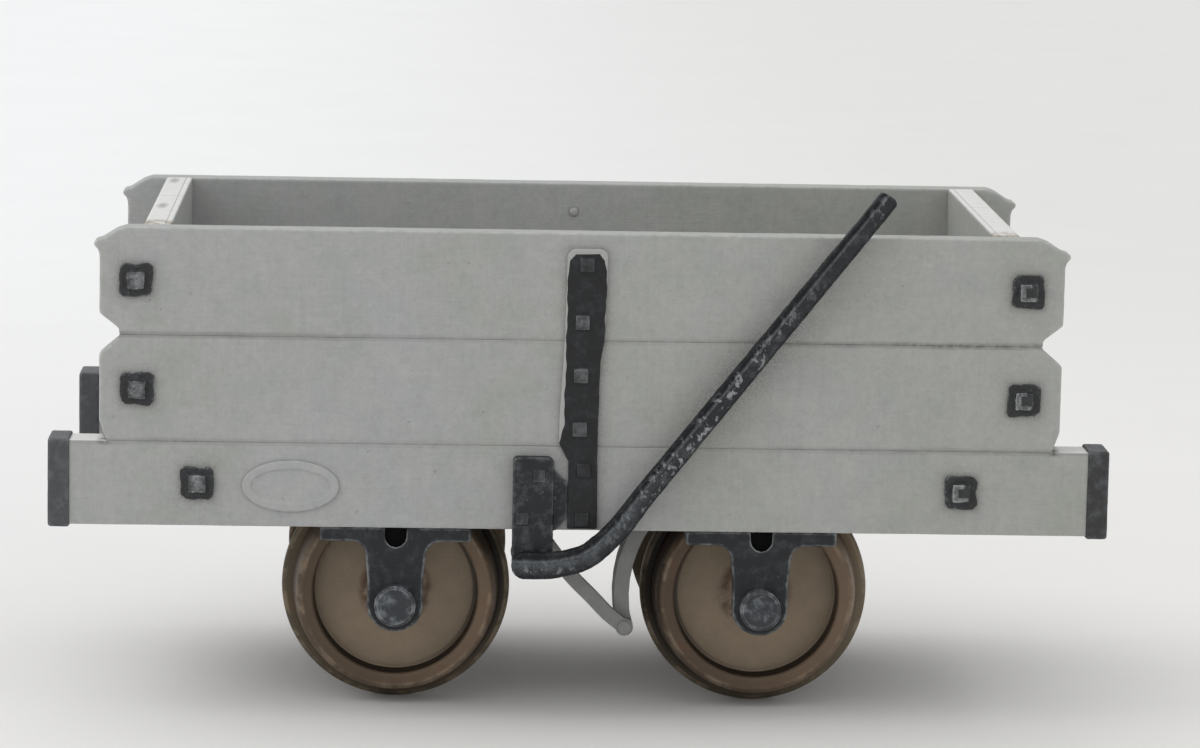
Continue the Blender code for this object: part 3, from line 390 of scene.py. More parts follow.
def pale_tops(shader, colour, noises, level):
    """The upward faces at a level, rubbed pale, with the marks that belong to that level."""
    fine, patch = noises["fine"], noises["patch"]
    up = shader.ramp(shader.axis("Z", shader.normal), 0.6, 0.9)
    top = shader.ramp(shader.axis("Z"), level - 0.006, level - 0.002)
    pale = shader.shade(shader.shade(PAINT_PALE, fine, 0.92, 1.06), patch, 0.92, 1.06)
    colour = shader.mix(shader.times(up, top), colour, pale)
    if level == TOP_Z:
        return end_top_marks(shader, colour, patch, top)
    return plank_foot_marks(shader, colour, patch)


def dusty(shader, colour, amount):
    """Brown dust on what faces up."""
    dust = shader.ramp(shader.noise(5.0, 6.0, 0.65, shift=5.0), 0.35, 0.7)
    up = shader.ramp(shader.axis("Z", shader.normal), 0.3, 0.8)
    return shader.mix(shader.times(dust, up, amount), colour, DUST)


def painted_timber(name, grain, pale_top=None, dust=0.0):
    """Matt grey paint over planed boards, worn and dirty, and pale on the upward faces at pale_top."""
    shader = Shader(name)
    noises = timber_noises(shader, grain)
    colour = brushed_paint(shader, noises)
    colour = joint_shade_and_dirt(shader, colour)
    colour = worn_and_shaded_boards(shader, colour, noises["fine"])
    if pale_top:
        colour = pale_tops(shader, colour, noises, pale_top)
    if dust:
        colour = dusty(shader, colour, dust)
    shader.bump((noises["fibre"], 0.00045), (noises["fine"], 0.0009), (noises["speck"], 0.00018))
    return shader.finish(colour, shader.ramp(noises["fine"], 0.3, 0.7, 0.66, 0.82), specular=0.3)


# ---- Materials: iron ----
def chipped(shader, colour, edge, cloud, wear):
    """Rubbed edges and grey chips all over, and bright chips where the attribute chipped is."""
    rubbed = shader.times(shader.ramp(edge, 0.04, 0.85), shader.ramp(cloud, 0.34, 0.62, 0.1, 1.0), wear)
    colour = shader.mix(rubbed, colour, IRON_WORN)
    chips = shader.ramp(shader.noise(60.0, 3.0, 0.6, shift=2.0), 0.66, 0.72, 0.0, 0.45 * wear)
    colour = shader.mix(chips, colour, SLATE_PALE)
    bright = shader.noise(75.0, 4.0, 0.62, (1.0, 1.0, 0.75), shift=6.0)
    bright = shader.times(shader.ramp(bright, 0.535, 0.600, 0.0, 0.70), shader.attribute("chipped"))
    return shader.mix(bright, colour, IRON_WORN)


def worn_nuts(shader, colour, edge, cloud, fine):
    """Blotched grey metal where the attribute nut is, and pale metal on those nuts' edges."""
    nut = shader.attribute("nut")
    metal = shader.shade(NUT_GREY, shader.noise(95.0, 3.0, 0.7, shift=14.0), 0.15, 1.9)
    colour = shader.mix(shader.times(nut, shader.ramp(cloud, 0.34, 0.56, 0.25, 1.0)), colour, metal)
    rim = shader.times(nut, nut, shader.ramp(edge, 0.05, 0.45), shader.ramp(fine, 0.30, 0.52, 0.15, 0.95))
    return shader.mix(rim, colour, IRON_WORN)


def iron_paint(name, dark, pale, blotches, wear, specular=0.45, left=None):
    """Dark paint on iron with pale blotches and wear. The attribute bare shows the body's paint instead.

    With left given, the paint fades from that colour at the left end to dark at the right one.
    """
    shader = Shader(name)
    if left:
        dark = shader.mix(shader.ramp(shader.axis("X"), -1.1, 1.1), left, dark)
    cloud = shader.noise(38.0, 5.0, 0.62)
    fine = shader.noise(160.0, 4.0, 0.65, shift=4.0)
    grit = shader.noise(520.0, 2.0, 0.6, shift=9.0)
    edge = shader.attribute("edge")
    colour = shader.mix(shader.ramp(cloud, 0.45, 0.72, 0.0, blotches), dark, pale)
    colour = shader.shade(colour, fine, 0.75, 1.25)
    colour = chipped(shader, colour, edge, cloud, wear)
    colour = worn_nuts(shader, colour, edge, cloud, fine)
    # painted shade: near black, and without sheen, in the pedestals' notches and along the lever's edges
    shade_band = shader.attribute("shade_band")
    colour = shader.mix(shade_band, colour, SHADE_BLACK)
    # painted highlight, with some wear, in a pale band along the lever
    highlight_band = shader.times(shader.attribute("highlight_band"), shader.ramp(fine, 0.35, 0.6, 0.25, 0.8))
    colour = shader.mix(highlight_band, colour, SLATE_PALE)
    bare = shader.ramp(shader.attribute("bare"), 0.35, 0.65)
    colour = shader.mix(bare, colour, shader.shade(PAINT, fine, 0.92, 1.08))
    shader.bump((cloud, 0.0006), (fine, 0.0006), (grit, 0.00012))
    glint = shader.ramp(shade_band, 0.1, 1.0, specular, 0.04)
    return shader.finish(colour, shader.ramp(fine, 0.3, 0.7, 0.42, 0.62), specular=glint)


def grey_paint(name):
    """Mid grey paint over iron, body-coloured on outer edges and with painted shade in corners."""
    shader = Shader(name)
    cloud = shader.noise(30.0, 4.0, 0.6)
    fine = shader.noise(170.0, 4.0, 0.6, shift=4.0)
    colour = shader.shade(ROD_GREY, cloud, 0.86, 1.14)
    colour = shader.shade(colour, fine, 0.92, 1.08)
    edge = shader.attribute("edge")
    colour = shader.mix(shader.ramp(edge, 0.2, 0.9, 0.0, 0.45), colour, PAINT)
    # painted shade in the corners
    colour = shader.mix(shader.ramp(edge, -0.7, -0.1, 0.5, 0.0), colour, GRIME_AND_SHADE)
    shader.bump((cloud, 0.0006), (fine, 0.0005))
    return shader.finish(colour, shader.ramp(fine, 0.3, 0.7, 0.55, 0.72), specular=0.35)


def turning_marks(shader, radius):
    """A noise that changes with the radius alone, as rings left by a lathe do."""
    return shader.node("TexNoise", ("W", radius), ("Scale", 900.0), noise_dimensions="1D")["Fac"]


def wheel_rust_and_shade(shader, colour, radius, edge, cloud):
    """Rust about the hub and in streaks on the rim, and painted shade in the corners, inside the rim and on the
    tread.
    """
    rust = shader.ramp(shader.noise(30.0, 4.0, 0.6, shift=8.0), 0.32, 0.58, 0.0, 0.85)
    rust = shader.times(rust, shader.near(radius, HUB_RADIUS - 0.009, 0.021))
    colour = shader.mix(rust, colour, HUB_RUST)
    streaks = shader.times(shader.ramp(radius, *RIM_RUST), shader.ramp(cloud, 0.55, 0.68, 0.0, 0.22))
    colour = shader.mix(streaks, colour, RUST)
    # painted shade in the corners, heavier on the sides the wheels turn to each other
    corners = shader.ramp(edge, -0.75, -0.08, 1.0, 0.0)
    corners = shader.times(corners, shader.ramp(radius, *CORNER_DARK))
    corners = shader.times(corners, shader.ramp(shader.attribute("shaded"), 0.0, 1.0, 0.15, 0.75))
    # painted shade inside the rim and on the tread
    for share in (corners, shader.attribute("wall_shade"), shader.attribute("tread_shade")):
        colour = shader.mix(share, colour, DARK_BROWN)
    return colour


def wheel_iron():
    """Brown cast iron: a tan web, a bronzed rim and tread lit on one side, painted shade in corners, rust about
    the hub.
    """
    shader = Shader("wheel_iron")
    radius = shader.attribute("radius")
    edge = shader.attribute("edge")
    cloud = shader.noise(22.0, 5.0, 0.6)
    fine = shader.noise(140.0, 4.0, 0.65, shift=5.0)
    rings = turning_marks(shader, radius)
    colour = shader.mix(shader.ramp(radius, *RIM_TONE), TAN, BRONZE)
    colour = shader.mix(shader.ramp(radius, *FLANGE_TONE), colour, FLANGE_BROWN)
    colour = shader.shade(colour, cloud, 0.86, 1.14)
    colour = shader.shade(colour, fine, 0.88, 1.12)
    colour = shader.shade(colour, rings, 0.93, 1.07)
    # painted light and shade: the rim, tread and flange lighter to the right and darker to the left
    colour = shader.shade(colour, shader.attribute("turned"), 0.70, 1.18)
    colour = wheel_rust_and_shade(shader, colour, radius, edge, cloud)
    bright = shader.times(shader.ramp(edge, 0.2, 0.9), shader.ramp(cloud, 0.45, 0.62, 0.1, 1.0))
    bright = shader.times(bright, shader.ramp(radius, *RIM_WEAR, 0.0, 0.40))
    colour = shader.mix(bright, colour, WHEEL_WORN)
    metal = shader.ramp(radius, *RIM_METAL, 0.1, 0.5)
    shader.bump((fine, 0.0005), (rings, 0.00015))
    # no sheen where the inside of the rim has painted shade
    glint = shader.ramp(shader.attribute("wall_shade"), 0.2, 0.9, 0.4, 0.03)
    return shader.finish(colour, shader.ramp(fine, 0.3, 0.7, 0.42, 0.6), metal, glint)


def axle_steel():
    """Dull brown steel."""
    shader = Shader("axle_steel")
    cloud = shader.noise(26.0, 5.0, 0.6)
    fine = shader.noise(150.0, 4.0, 0.65)
    colour = shader.mix(shader.ramp(cloud, 0.4, 0.65), STEEL_DARK, STEEL_BROWN)
    colour = shader.shade(colour, fine, 0.8, 1.2)
    shader.bump((fine, 0.0005))
    return shader.finish(colour, shader.ramp(fine, 0.3, 0.7, 0.4, 0.6), 0.4)


# ---- Fine meshes ----
def linked(name, data):
    obj = bpy.data.objects.new(name, data)
    bpy.context.scene.collection.objects.link(obj)
    return obj


def evaluated(obj):
    """A new mesh of the object with its modifiers applied."""
    bpy.context.view_layer.update()
    graph = bpy.context.evaluated_depsgraph_get()
    return bpy.data.meshes.new_from_object(obj.evaluated_get(graph))


def welded(node):
    """A CAD node's mesh as one closed skin."""
    shape = bmesh.new()
    shape.from_mesh(NODES[node].data)
    bmesh.ops.remove_doubles(shape, verts=shape.verts[:], dist=WELD)
    mesh = bpy.data.meshes.new(node)
    shape.to_mesh(mesh)
    shape.free()
    return mesh


def points_of(mesh):
    points = np.empty(len(mesh.vertices) * 3)
    mesh.vertices.foreach_get("co", points)
    return points.reshape(-1, 3)


def normals_of(mesh):
    normals = np.empty(len(mesh.vertices) * 3)
    mesh.vertex_normals.foreach_get("vector", normals)
    return normals.reshape(-1, 3)


def move_points(mesh, points):
    mesh.vertices.foreach_set("co", points.ravel())
    mesh.update()


def add_attribute(mesh, name, values):
    layer = mesh.attributes.new(name, "FLOAT", "POINT")
    layer.data.foreach_set("value", np.asarray(values, np.float32))


def clouds(size):
    texture = bpy.data.textures.new("lumps", "CLOUDS")
    texture.noise_scale = size
    texture.noise_depth = 3
    return texture


def smoothing(obj, steps):
    smooth = obj.modifiers.new("Smooth", "SMOOTH")
    smooth.factor = 0.5
    smooth.iterations = steps


def refined(node, voxel, soften, lumps, wear_steps=WEAR_STEPS):
    """A CAD node remeshed finely and rounded, with lumps of (depth, size), held in its own box.

    The attribute edge is above 0 on outer edges and below 0 in corners.
    """
    obj = linked("working", welded(node))
    remesh = obj.modifiers.new("Remesh", "REMESH")
    remesh.mode = "VOXEL"
    remesh.voxel_size = voxel
    smoothing(obj, soften)
    for depth, size in lumps:
        lump = obj.modifiers.new("Lumps", "DISPLACE")
        lump.texture = clouds(size)
        lump.strength = depth
        lump.mid_level = 0.5
    fine = evaluated(obj)
    smoothing(obj, wear_steps)
    flat = evaluated(obj)
    points = points_of(fine)
    rise = ((points - points_of(flat)) * normals_of(fine)).sum(axis=1)
    add_attribute(fine, "edge", np.clip(rise / (0.45 * voxel), -1.0, 1.0))
    low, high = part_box(node)
    fine.shade_smooth()
    move_points(fine, np.clip(points, np.array(low), np.array(high)))
    bpy.data.objects.remove(obj)
    bpy.data.meshes.remove(flat)
    return fine


def place(node, mesh, material):
    """Puts a fine mesh in the place of a CAD node."""
    mesh.materials.clear()
    mesh.materials.append(material)
    piece = linked("fine_" + node, mesh)
    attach(piece, BODIES[node])
    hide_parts(node)


def climb(values, start, length):
    """0 up to start, rising evenly to 1 over length beyond it."""
    return np.clip((values - start) / length, 0.0, 1.0)


def peak(values, centre, half):
    """1 at centre, falling evenly to 0 at half on either side of it."""
    return np.clip(1.0 - np.abs(values - centre) / half, 0.0, 1.0)


# ---- The plates and the lever on the near side, which painted shade, painted highlight and wear follow ----
LEVER_PATH = (
    (-0.150, 0.356), (-0.062, 0.356), (0.000, 0.370), (0.037, 0.393),
    (0.086, 0.442), (0.132, 0.505), (0.660, 1.177),
)
LEVER_HALF_FOOT, LEVER_HALF_TIP = 0.0295, 0.0225
LEVER_TAPER = (LEVER_HALF_FOOT - LEVER_HALF_TIP) / 1.18     # over the lever's length
LEVER_FOOT_Z, LEVER_MIDDLE_Z, LEVER_TIP_Z = 0.345, 0.68, 1.10


def along_lever(points):
    """Where points lie across the lever, from -1 at its lower edge to 1 at its upper one.

    The second value is how far they are from its middle line.
    """
    side_view = points[:, [0, 2]]
    nearest = np.full(len(points), np.inf)
    across = np.zeros(len(points))
    travelled = 0.0
    for start, end in zip(np.array(LEVER_PATH), np.array(LEVER_PATH[1:])):
        length = np.linalg.norm(end - start)
        along = (end - start) / length
        reached = np.clip((side_view - start) @ along, 0.0, length)
        offset = side_view - start - reached[:, None] * along
        distance = np.linalg.norm(offset, axis=1)
        side = np.sign(along[0] * offset[:, 1] - along[1] * offset[:, 0])
        half = LEVER_HALF_FOOT - LEVER_TAPER * (travelled + reached)
        closer = distance < nearest
        nearest = np.where(closer, distance, nearest)
        across = np.where(closer, side * distance / half, across)
        travelled += length
    return across, nearest


def plate_centres():
    """The middles of the square plates on the near side, as X and Z, found in the CAD meshes."""
    centres = []
    for node in ("corner_iron_near_left", "corner_iron_near_right", "tie_rod_left", "tie_rod_right"):
        points = points_of(NODES[node].data)
        points = points[points[:, 1] < -SIDE_FACE - 0.001]
        for group in (points[points[:, 2] > JOINT_Z], points[points[:, 2] <= JOINT_Z]):
            if len(group):
                middle = (group.min(axis=0) + group.max(axis=0)) / 2
                centres.append((middle[0], middle[2]))
    return centres


PLATES = plate_centres()


# ---- Timber ----
def closed_joints(mesh):
    """Fills most of the rounding along the planks' joints with paint, more in some places than others."""
    points = points_of(mesh)
    x = points[:, 0]
    outer = np.abs(points[:, 1]) > SIDE_FACE - OUTER_SKIN
    fill = 0.95 + 0.03 * np.sin(x * 17.0 + 1.0) + 0.02 * np.sin(x * 71.0)
    unworn = np.zeros(len(points), bool)
    for level, _ in JOINTS:
        from_joint = np.abs(points[:, 2] - level)
        beside = outer & (from_joint < JOINT_REACH)
        close = outer & (from_joint < JOINT_CORNER)
        face = np.sign(points[:, 1]) * (SIDE_FACE - PAINT_SUNK)
        lip = level + np.where(points[:, 2] < level, *JOINT_LIPS)
        points[:, 1] = np.where(beside, points[:, 1] + (face - points[:, 1]) * fill, points[:, 1])
        points[:, 2] = np.where(close, points[:, 2] + (lip - points[:, 2]) * fill, points[:, 2])
        unworn |= beside
    edge = mesh.attributes["edge"].data
    wear = np.empty(len(points), np.float32)
    edge.foreach_get("value", wear)
    wear[unworn] = 0.0
    edge.foreach_set("value", wear)
    move_points(mesh, points)


def closed_top_seam(mesh):
    """Fills the rounding between an end plank and its lining along the top, so that the seam is fine."""
    points = points_of(mesh)
    from_seam = np.abs(points[:, 0]) - END_SEAM_X
    beside = (np.abs(from_seam) < SEAM_REACH) & (points[:, 2] > TOP_Z - SEAM_DEPTH)
    close = beside & (np.abs(from_seam) < SEAM_CORNER)
    on_top = beside & (points[:, 2] > TOP_Z - TOP_SKIN)
    lip = END_SEAM_X + np.where(from_seam > -0.0001, *SEAM_LIPS)
    points[:, 0] = np.where(close, np.sign(points[:, 0]) * lip, points[:, 0])
    points[:, 2] = np.where(on_top, TOP_Z - PAINT_SUNK, points[:, 2])
    move_points(mesh, points)


# Painted shade round the plates, the strap and the lever
PLATE_SHADE = (0.30, 0.010)          # strength and reach
STRAP_SHADE = (0.20, 0.012)
LEVER_SHADE = (0.44, 0.036)
LEVER_SHADE_Z, LEVER_SHADE_SPREAD = 0.78, 0.16
LEVER_SHADE_START = 0.026            # from the lever's middle line


def fading_shade(distance, strength, reach):
    """Painted shade that is strongest at no distance and fades out over reach."""
    return strength * np.exp(-distance / reach)


def shade_haze(mesh, near_side):
    """Painted shade round the plates, the strap and, on the near side, the lever."""
    points = points_of(mesh)
    x, z = points[:, 0], points[:, 2]
    shade_amount = np.zeros(len(points))
    for centre in PLATES:
        outside = np.maximum(np.abs(points[:, [0, 2]] - centre) - PLATE_HALF, 0.0)
        shade_amount = np.maximum(shade_amount, fading_shade(np.linalg.norm(outside, axis=1), *PLATE_SHADE))
    low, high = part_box("side_strap_near")
    beside = np.maximum(np.maximum(low.x + 0.005 - x, x - high.x), 0.0)
    above = np.maximum(z - high.z, 0.0)
    shade_amount = np.maximum(shade_amount, fading_shade(np.hypot(beside, above), *STRAP_SHADE))
    if near_side:
        across, distance = along_lever(points)
        # painted shadow, heavier below the lever than above it
        amount = np.where(across > 0, 0.6, 1.0)
        amount *= 0.45 + 0.75 * np.exp(-(((z - LEVER_SHADE_Z) / LEVER_SHADE_SPREAD) ** 2))
        outside = np.maximum(distance - LEVER_SHADE_START, 0.0)
        shade_amount = np.maximum(shade_amount, amount * fading_shade(outside, *LEVER_SHADE))
    return shade_amount * (np.abs(points[:, 1]) > SIDE_FACE - 0.004)


def timber():
    sides = painted_timber("timber_sides", "X")
    bars = painted_timber("timber_solebars", "X", pale_top=SOLE_TOP)
    crosswise = painted_timber("timber_crosswise", "Y", pale_top=TOP_Z)
    boards = painted_timber("timber_floor", "X", dust=0.7)
    for side in SIDES:
        for node, material in (
            (f"side_plank_{side}_lower", sides),
            (f"side_plank_{side}_upper", sides),
            (f"solebar_{side}", bars),
        ):
            mesh = refined(node, TIMBER_VOXEL, soften=2, lumps=BOARD_LUMPS)
            closed_joints(mesh)
            # painted shade round the plates, the strap and the lever
            add_attribute(mesh, "shade_haze", shade_haze(mesh, side == "near"))
            place(node, mesh, material)
    for end in ENDS:
        for node in (f"end_plank_{end}_lower", f"end_plank_{end}_upper", f"end_lining_{end}"):
            mesh = refined(node, SEAM_VOXEL, soften=2, lumps=BOARD_LUMPS[1:])
            closed_top_seam(mesh)
            place(node, mesh, crosswise)
        for node in (f"headstock_{end}", f"cross_bearer_{end}"):
            place(node, refined(node, TIMBER_VOXEL, soften=2, lumps=BOARD_LUMPS), crosswise)
    for number in (1, 2, 3, 4):
        node = f"floor_board_{number}"
        place(node, refined(node, FLOOR_VOXEL, soften=2, lumps=BOARD_LUMPS), boards)


# ---- Iron: straps, corner irons and tie rods ----
STRAP_PATCH = (             # height, and the left and right edges of the strap's hand-painted black patch
    (0.430, -0.0300, 0.0420),
    (0.600, -0.0520, 0.0400),
    (0.630, -0.0450, 0.0390),
    (0.660, -0.0380, 0.0385),
    (0.740, -0.0365, 0.0390),
    (0.840, -0.0355, 0.0470),
    (0.950, -0.0350, 0.0500),
    (1.000, -0.0340, 0.0490),
    (1.020, -0.0310, 0.0460),
    (1.033, -0.0200, 0.0350),
)
PATCH_BORDER = 0.010        # of body paint above the patch
PATCH_SOFTNESS = 0.003      # of the patch's edge
STRAP_NUT_WEAR = ((0.57, 0.04), (0.62, 0.36), (0.74, 0.44), (0.90, 0.44), (0.96, 0.14))     # height, wear
PLATE_NUT_WEAR = 0.85
BRACKET_NUT_WEAR = 0.13


def behind_face(points):
    """1 for points behind the side planks' outer face, where an iron wears body paint."""
    return (np.abs(points[:, 1]) < SIDE_FACE).astype(float)


def strap_bare(points):
    """How far a point of a side strap is outside the hand-painted black patch, 0 to 1."""
    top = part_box("side_strap_near")[1].z
    x, z = points[:, 0], points[:, 2]
    heights, lefts, rights = np.array(STRAP_PATCH).T
    left, right = np.interp(z, heights, lefts), np.interp(z, heights, rights)
    wave = 0.0010 * np.sin(z * 53.0 + 1.0) + 0.0007 * np.sin(z * 151.0 + x * 40)
    inset = wave + np.minimum.reduce([x - left, right - x, top - PATCH_BORDER - z])
    return np.maximum(np.clip(0.5 - inset / PATCH_SOFTNESS, 0.0, 1.0), behind_face(points))


def nut_wear(points, amount):
    """How worn the nuts are, 0 off them. Right of the middle, only the left side and the rims wear pale."""
    worn = amount * (np.abs(points[:, 1]) > SIDE_FACE + NUT_FACE).astype(float)
    for number, (x, z) in enumerate(PLATES):
        across, up = (points[:, 0] - x) / NUT_HALF, (points[:, 2] - z) / NUT_HALF
        reach = np.maximum(np.abs(across), np.abs(up))
        mine = reach < 1.3
        if x > 0.0:
            pale = (across < -0.40) | ((up < -0.50) & (across < 0.80)) | ((up > 0.60) & (across < 0.3))
            worn = np.where(mine & ~pale, worn * 0.05, worn)
        else:
            lean = 0.25 * np.sin(3.0 * across + 2.0 * number) + 0.25 * np.sin(4.0 * up + number)
            worn = np.where(mine, worn * np.clip(1.25 - 0.95 * reach**2 + lean, 0.1, 1.0), worn)
    return worn


def hand_cut(mesh):
    """Makes the square plates a little uneven in outline, each in its own way, inside its own size."""
    points = points_of(mesh)
    outside = np.abs(points[:, 1]) > SIDE_FACE + 0.0002
    for number, centre in enumerate(PLATES):
        offset = points[:, [0, 2]] - centre
        mine = outside & (np.abs(offset).max(axis=1) < PLATE_HALF + 0.004)
        angle = np.arctan2(offset[:, 1], offset[:, 0])
        reach = np.linalg.norm(offset, axis=1)
        start = number * 2.1
        uneven = 0.40 * np.sin(2 * angle + start) + 0.35 * np.sin(3 * angle + 2.3 * start)
        uneven += 0.25 * np.sin(7 * angle + 1.7 * start)
        growth = 1.0 + 0.10 * (uneven - 0.25) * climb(reach, 0.020, 0.012)
        moved = centre + np.clip(offset * growth[:, None], -PLATE_HALF, PLATE_HALF)
        points[:, [0, 2]] = np.where(mine[:, None], moved, points[:, [0, 2]])
    move_points(mesh, points)


def strap(side, material):
    node = f"side_strap_{side}"
    mesh = refined(node, IRON_VOXEL, soften=8, lumps=STRAP_LUMPS)
    points = points_of(mesh)
    heights, wear = zip(*STRAP_NUT_WEAR)
    add_attribute(mesh, "bare", strap_bare(points))
    add_attribute(mesh, "nut", nut_wear(points, np.interp(points[:, 2], heights, wear)))
    place(node, mesh, material)


def plated_iron(node, material, painted_behind):
    """A corner iron or a tie rod, with its uneven square plates and their worn nuts."""
    mesh = refined(node, IRON_VOXEL, soften=9, lumps=BRUSHED_LUMPS)
    hand_cut(mesh)
    points = points_of(mesh)
    if painted_behind:
        add_attribute(mesh, "bare", behind_face(points))
    add_attribute(mesh, "nut", nut_wear(points, PLATE_NUT_WEAR))
    place(node, mesh, material)


# ---- Iron: castings, pedestals and the brake ----
def pedestal(node, material):
    """A pedestal, with the notch in its web painted near black as shade."""
    mesh = refined(node, CASTING_VOXEL, soften=3, lumps=CAST_LUMPS, wear_steps=24)
    points = points_of(mesh)
    low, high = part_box(node)
    across = np.abs(points[:, 0] - (low.x + high.x) / 2)
    face = max(abs(low.y), abs(high.y))
    notch = (across < NOTCH_HALF) & (points[:, 2] > SOLE_BOTTOM - NOTCH_DEPTH)
    notch &= np.abs(points[:, 1]) < face - NOTCH_BACK
    # the notch's painted shade
    add_attribute(mesh, "shade_band", notch.astype(float))
    place(node, mesh, material)


def brake_bracket(side, material):
    node = f"brake_bracket_{side}"
    mesh = refined(node, IRON_VOXEL, soften=14, lumps=CAST_LUMPS)
    on_nuts = np.abs(points_of(mesh)[:, 1]) > SIDE_FACE + BRACKET_NUT_FACE
    add_attribute(mesh, "nut", BRACKET_NUT_WEAR * on_nuts)
    place(node, mesh, material)


def brake_lever(material):
    """The lever: painted shade on its edges, a pale streak and foot of painted highlight and wear, chips in three
    places.
    """
    mesh = refined("brake_lever", IRON_VOXEL, soften=3, lumps=LEVER_LUMPS)
    points = points_of(mesh)
    across, _ = along_lever(points)
    height = points[:, 2]
    dark = climb(across, 0.40, 0.12) + np.minimum(climb(-across, 0.62, 0.15), 0.8)
    # painted shade along both edges
    add_attribute(mesh, "shade_band", 0.6 * dark)
    low = 1.0 - climb(height, 0.46, 0.10)
    streak = peak(across, 0.30, 0.14) * (0.75 + 0.25 * low)
    foot = peak(across, 0.05, 0.50) * low * 0.55
    # painted highlight, with wear along the arris, in a pale streak and along the foot
    add_attribute(mesh, "highlight_band", np.maximum(streak, foot))
    chips = np.clip(1.35 - np.abs(height - LEVER_MIDDLE_Z) / 0.24, 0.0, 1.0)
    chips += 0.6 * peak(height, LEVER_FOOT_Z, 0.03) + 0.5 * climb(height, LEVER_TIP_Z, 0.05)
    add_attribute(mesh, "chipped", np.clip(chips, 0.0, 1.0) * (1.0 - climb(np.abs(across), 0.60, 0.20)))
    place("brake_lever", mesh, material)


def ironwork():
    black = iron_paint("black_iron", BLACK, SLATE, blotches=0.8, wear=0.5)
    slate = iron_paint("slate_iron", SLATE, SLATE_PALE, blotches=0.55, wear=0.75)
    caps = iron_paint("cap_iron", CAP_BLACK, CAP_PALE, blotches=0.42, wear=0.5, left=CAP_BLACK_LEFT)
    lever = iron_paint("lever_iron", LEVER_BLACK, LEVER_PALE, blotches=0.36, wear=0.7, specular=0.38)
    guards = iron_paint("guard_iron", GUARD_BLACK, GUARD_PALE, blotches=0.24, wear=0.5, specular=0.35)
    bearings = iron_paint("bearing_iron", BEARING_BLACK, BEARING_PALE, blotches=0.75, wear=0.7)
    bracket = iron_paint("bracket_iron", BRACKET_BLACK, SLATE_PALE, blotches=0.36, wear=0.8, specular=0.38)
    strap_paint = iron_paint("strap_iron", STRAP_BLACK, SLATE, blotches=0.8, wear=0.12, specular=0.3)
    grey = grey_paint("grey_iron")
    plate_paint = painted_timber("plate_paint", "X")
    for side in SIDES:
        strap(side, strap_paint)
        brake_bracket(side, bracket)
        for end in ENDS:
            plated_iron(f"corner_iron_{side}_{end}", black, painted_behind=True)
            node = f"buffer_cap_{side}_{end}"
            place(node, refined(node, CASTING_VOXEL, soften=4, lumps=CAST_LUMPS), caps)
            pedestal(f"pedestal_{side}_{end}", guards)
            node = f"bearing_bush_{side}_{end}"
            mesh = refined(node, IRON_VOXEL, soften=2, lumps=TURNED_LUMPS, wear_steps=10)
            place(node, mesh, bearings)
    for end in ENDS:
        plated_iron(f"tie_rod_{end}", black, painted_behind=False)
        for node, voxel in ((f"draw_hook_{end}", IRON_VOXEL), (f"coupling_link_{end}", SMALL_VOXEL)):
            place(node, refined(node, voxel, soften=3, lumps=FORGED_LUMPS), slate)
    brake_lever(lever)
    for node, steps, material in (
        ("brake_shaft", 2, slate),
        ("brake_crank", 2, slate),
        ("shoe_hanger", 2, slate),
        ("push_rod", 3, grey),
        ("brake_shoe", 3, grey),
    ):
        place(node, refined(node, IRON_VOXEL, soften=steps, lumps=BRAKE_LUMPS), material)
    mesh = refined("oval_plate", SMALL_VOXEL, soften=24, lumps=PLATE_LUMPS)
    place("oval_plate", mesh, plate_paint)


# ---- Wheels ----
def wheel_profile(flange):
    """The wheel's corners as (radius, along, size of the rounding), from the hub's face round to its back."""
    tread_root, tread_front = TREAD_ROOT * flange, TREAD_FRONT * flange
    return [
        (BORE, WEB_FACE + 0.004, 0.001),
        (HUB_RADIUS, WEB_FACE + 0.003, 0.006),
        (HUB_FOOT, WEB_FACE, 0.012),
        (WEB_EDGE, WEB_FACE, 0.003),
        (WEB_EDGE + 0.0015, RIM_FACE - 0.004, 0.002),
        (RIM_EDGE, RIM_FACE, 0.002),
        (tread_front - 0.008, RIM_FACE, 0.004),
        (tread_front, RIM_FACE - 0.010, 0.006),
        (tread_root, FLANGE_FACE + 0.012, 0.004),
        (tread_root - 0.001, FLANGE_FACE + 0.005, 0.003),
        (flange - 0.005, FLANGE_FACE, 0.006),
        (flange, FLANGE_FACE - 0.008, 0.006),
        (flange, WHEEL_BACK + 0.003, 0.003),
        (flange - 0.004, WHEEL_BACK, 0.003),
        (RECESS_OUTER + RECESS_DRAFT, WHEEL_BACK, 0.004),
        (RECESS_OUTER, WEB_BACK, 0.005),
        (RECESS_INNER, WEB_BACK, 0.005),
        (RECESS_INNER - RECESS_DRAFT, WHEEL_BACK, 0.003),
        (BORE, WHEEL_BACK, 0.001),
    ]


def rounded(corners):
    """A closed profile with each corner (radius, along, size) rounded off by size."""
    profile = []
    for index, (radius, along, size) in enumerate(corners):
        here = Vector((radius, along))
        before = Vector(corners[index - 1][:2])
        after = Vector(corners[(index + 1) % len(corners)][:2])
        start = here + (before - here).normalized() * min(size, (before - here).length * 0.45)
        end = here + (after - here).normalized() * min(size, (after - here).length * 0.45)
        for step in range(CORNER_STEPS + 1):
            t = step / CORNER_STEPS
            profile.append((1 - t) ** 2 * start + 2 * t * (1 - t) * here + t**2 * end)
    return profile


def evenly(profile, spacing):
    """A closed profile's points again, at even spacing."""
    loop = np.array([tuple(point) for point in profile] + [tuple(profile[0])])
    lengths = np.concatenate([[0.0], np.cumsum(np.linalg.norm(np.diff(loop, axis=0), axis=1))])
    count = round(lengths[-1] / spacing)
    at = np.linspace(0.0, lengths[-1], count, endpoint=False)
    return np.stack([np.interp(at, lengths, loop[:, k]) for k in (0, 1)], axis=1)


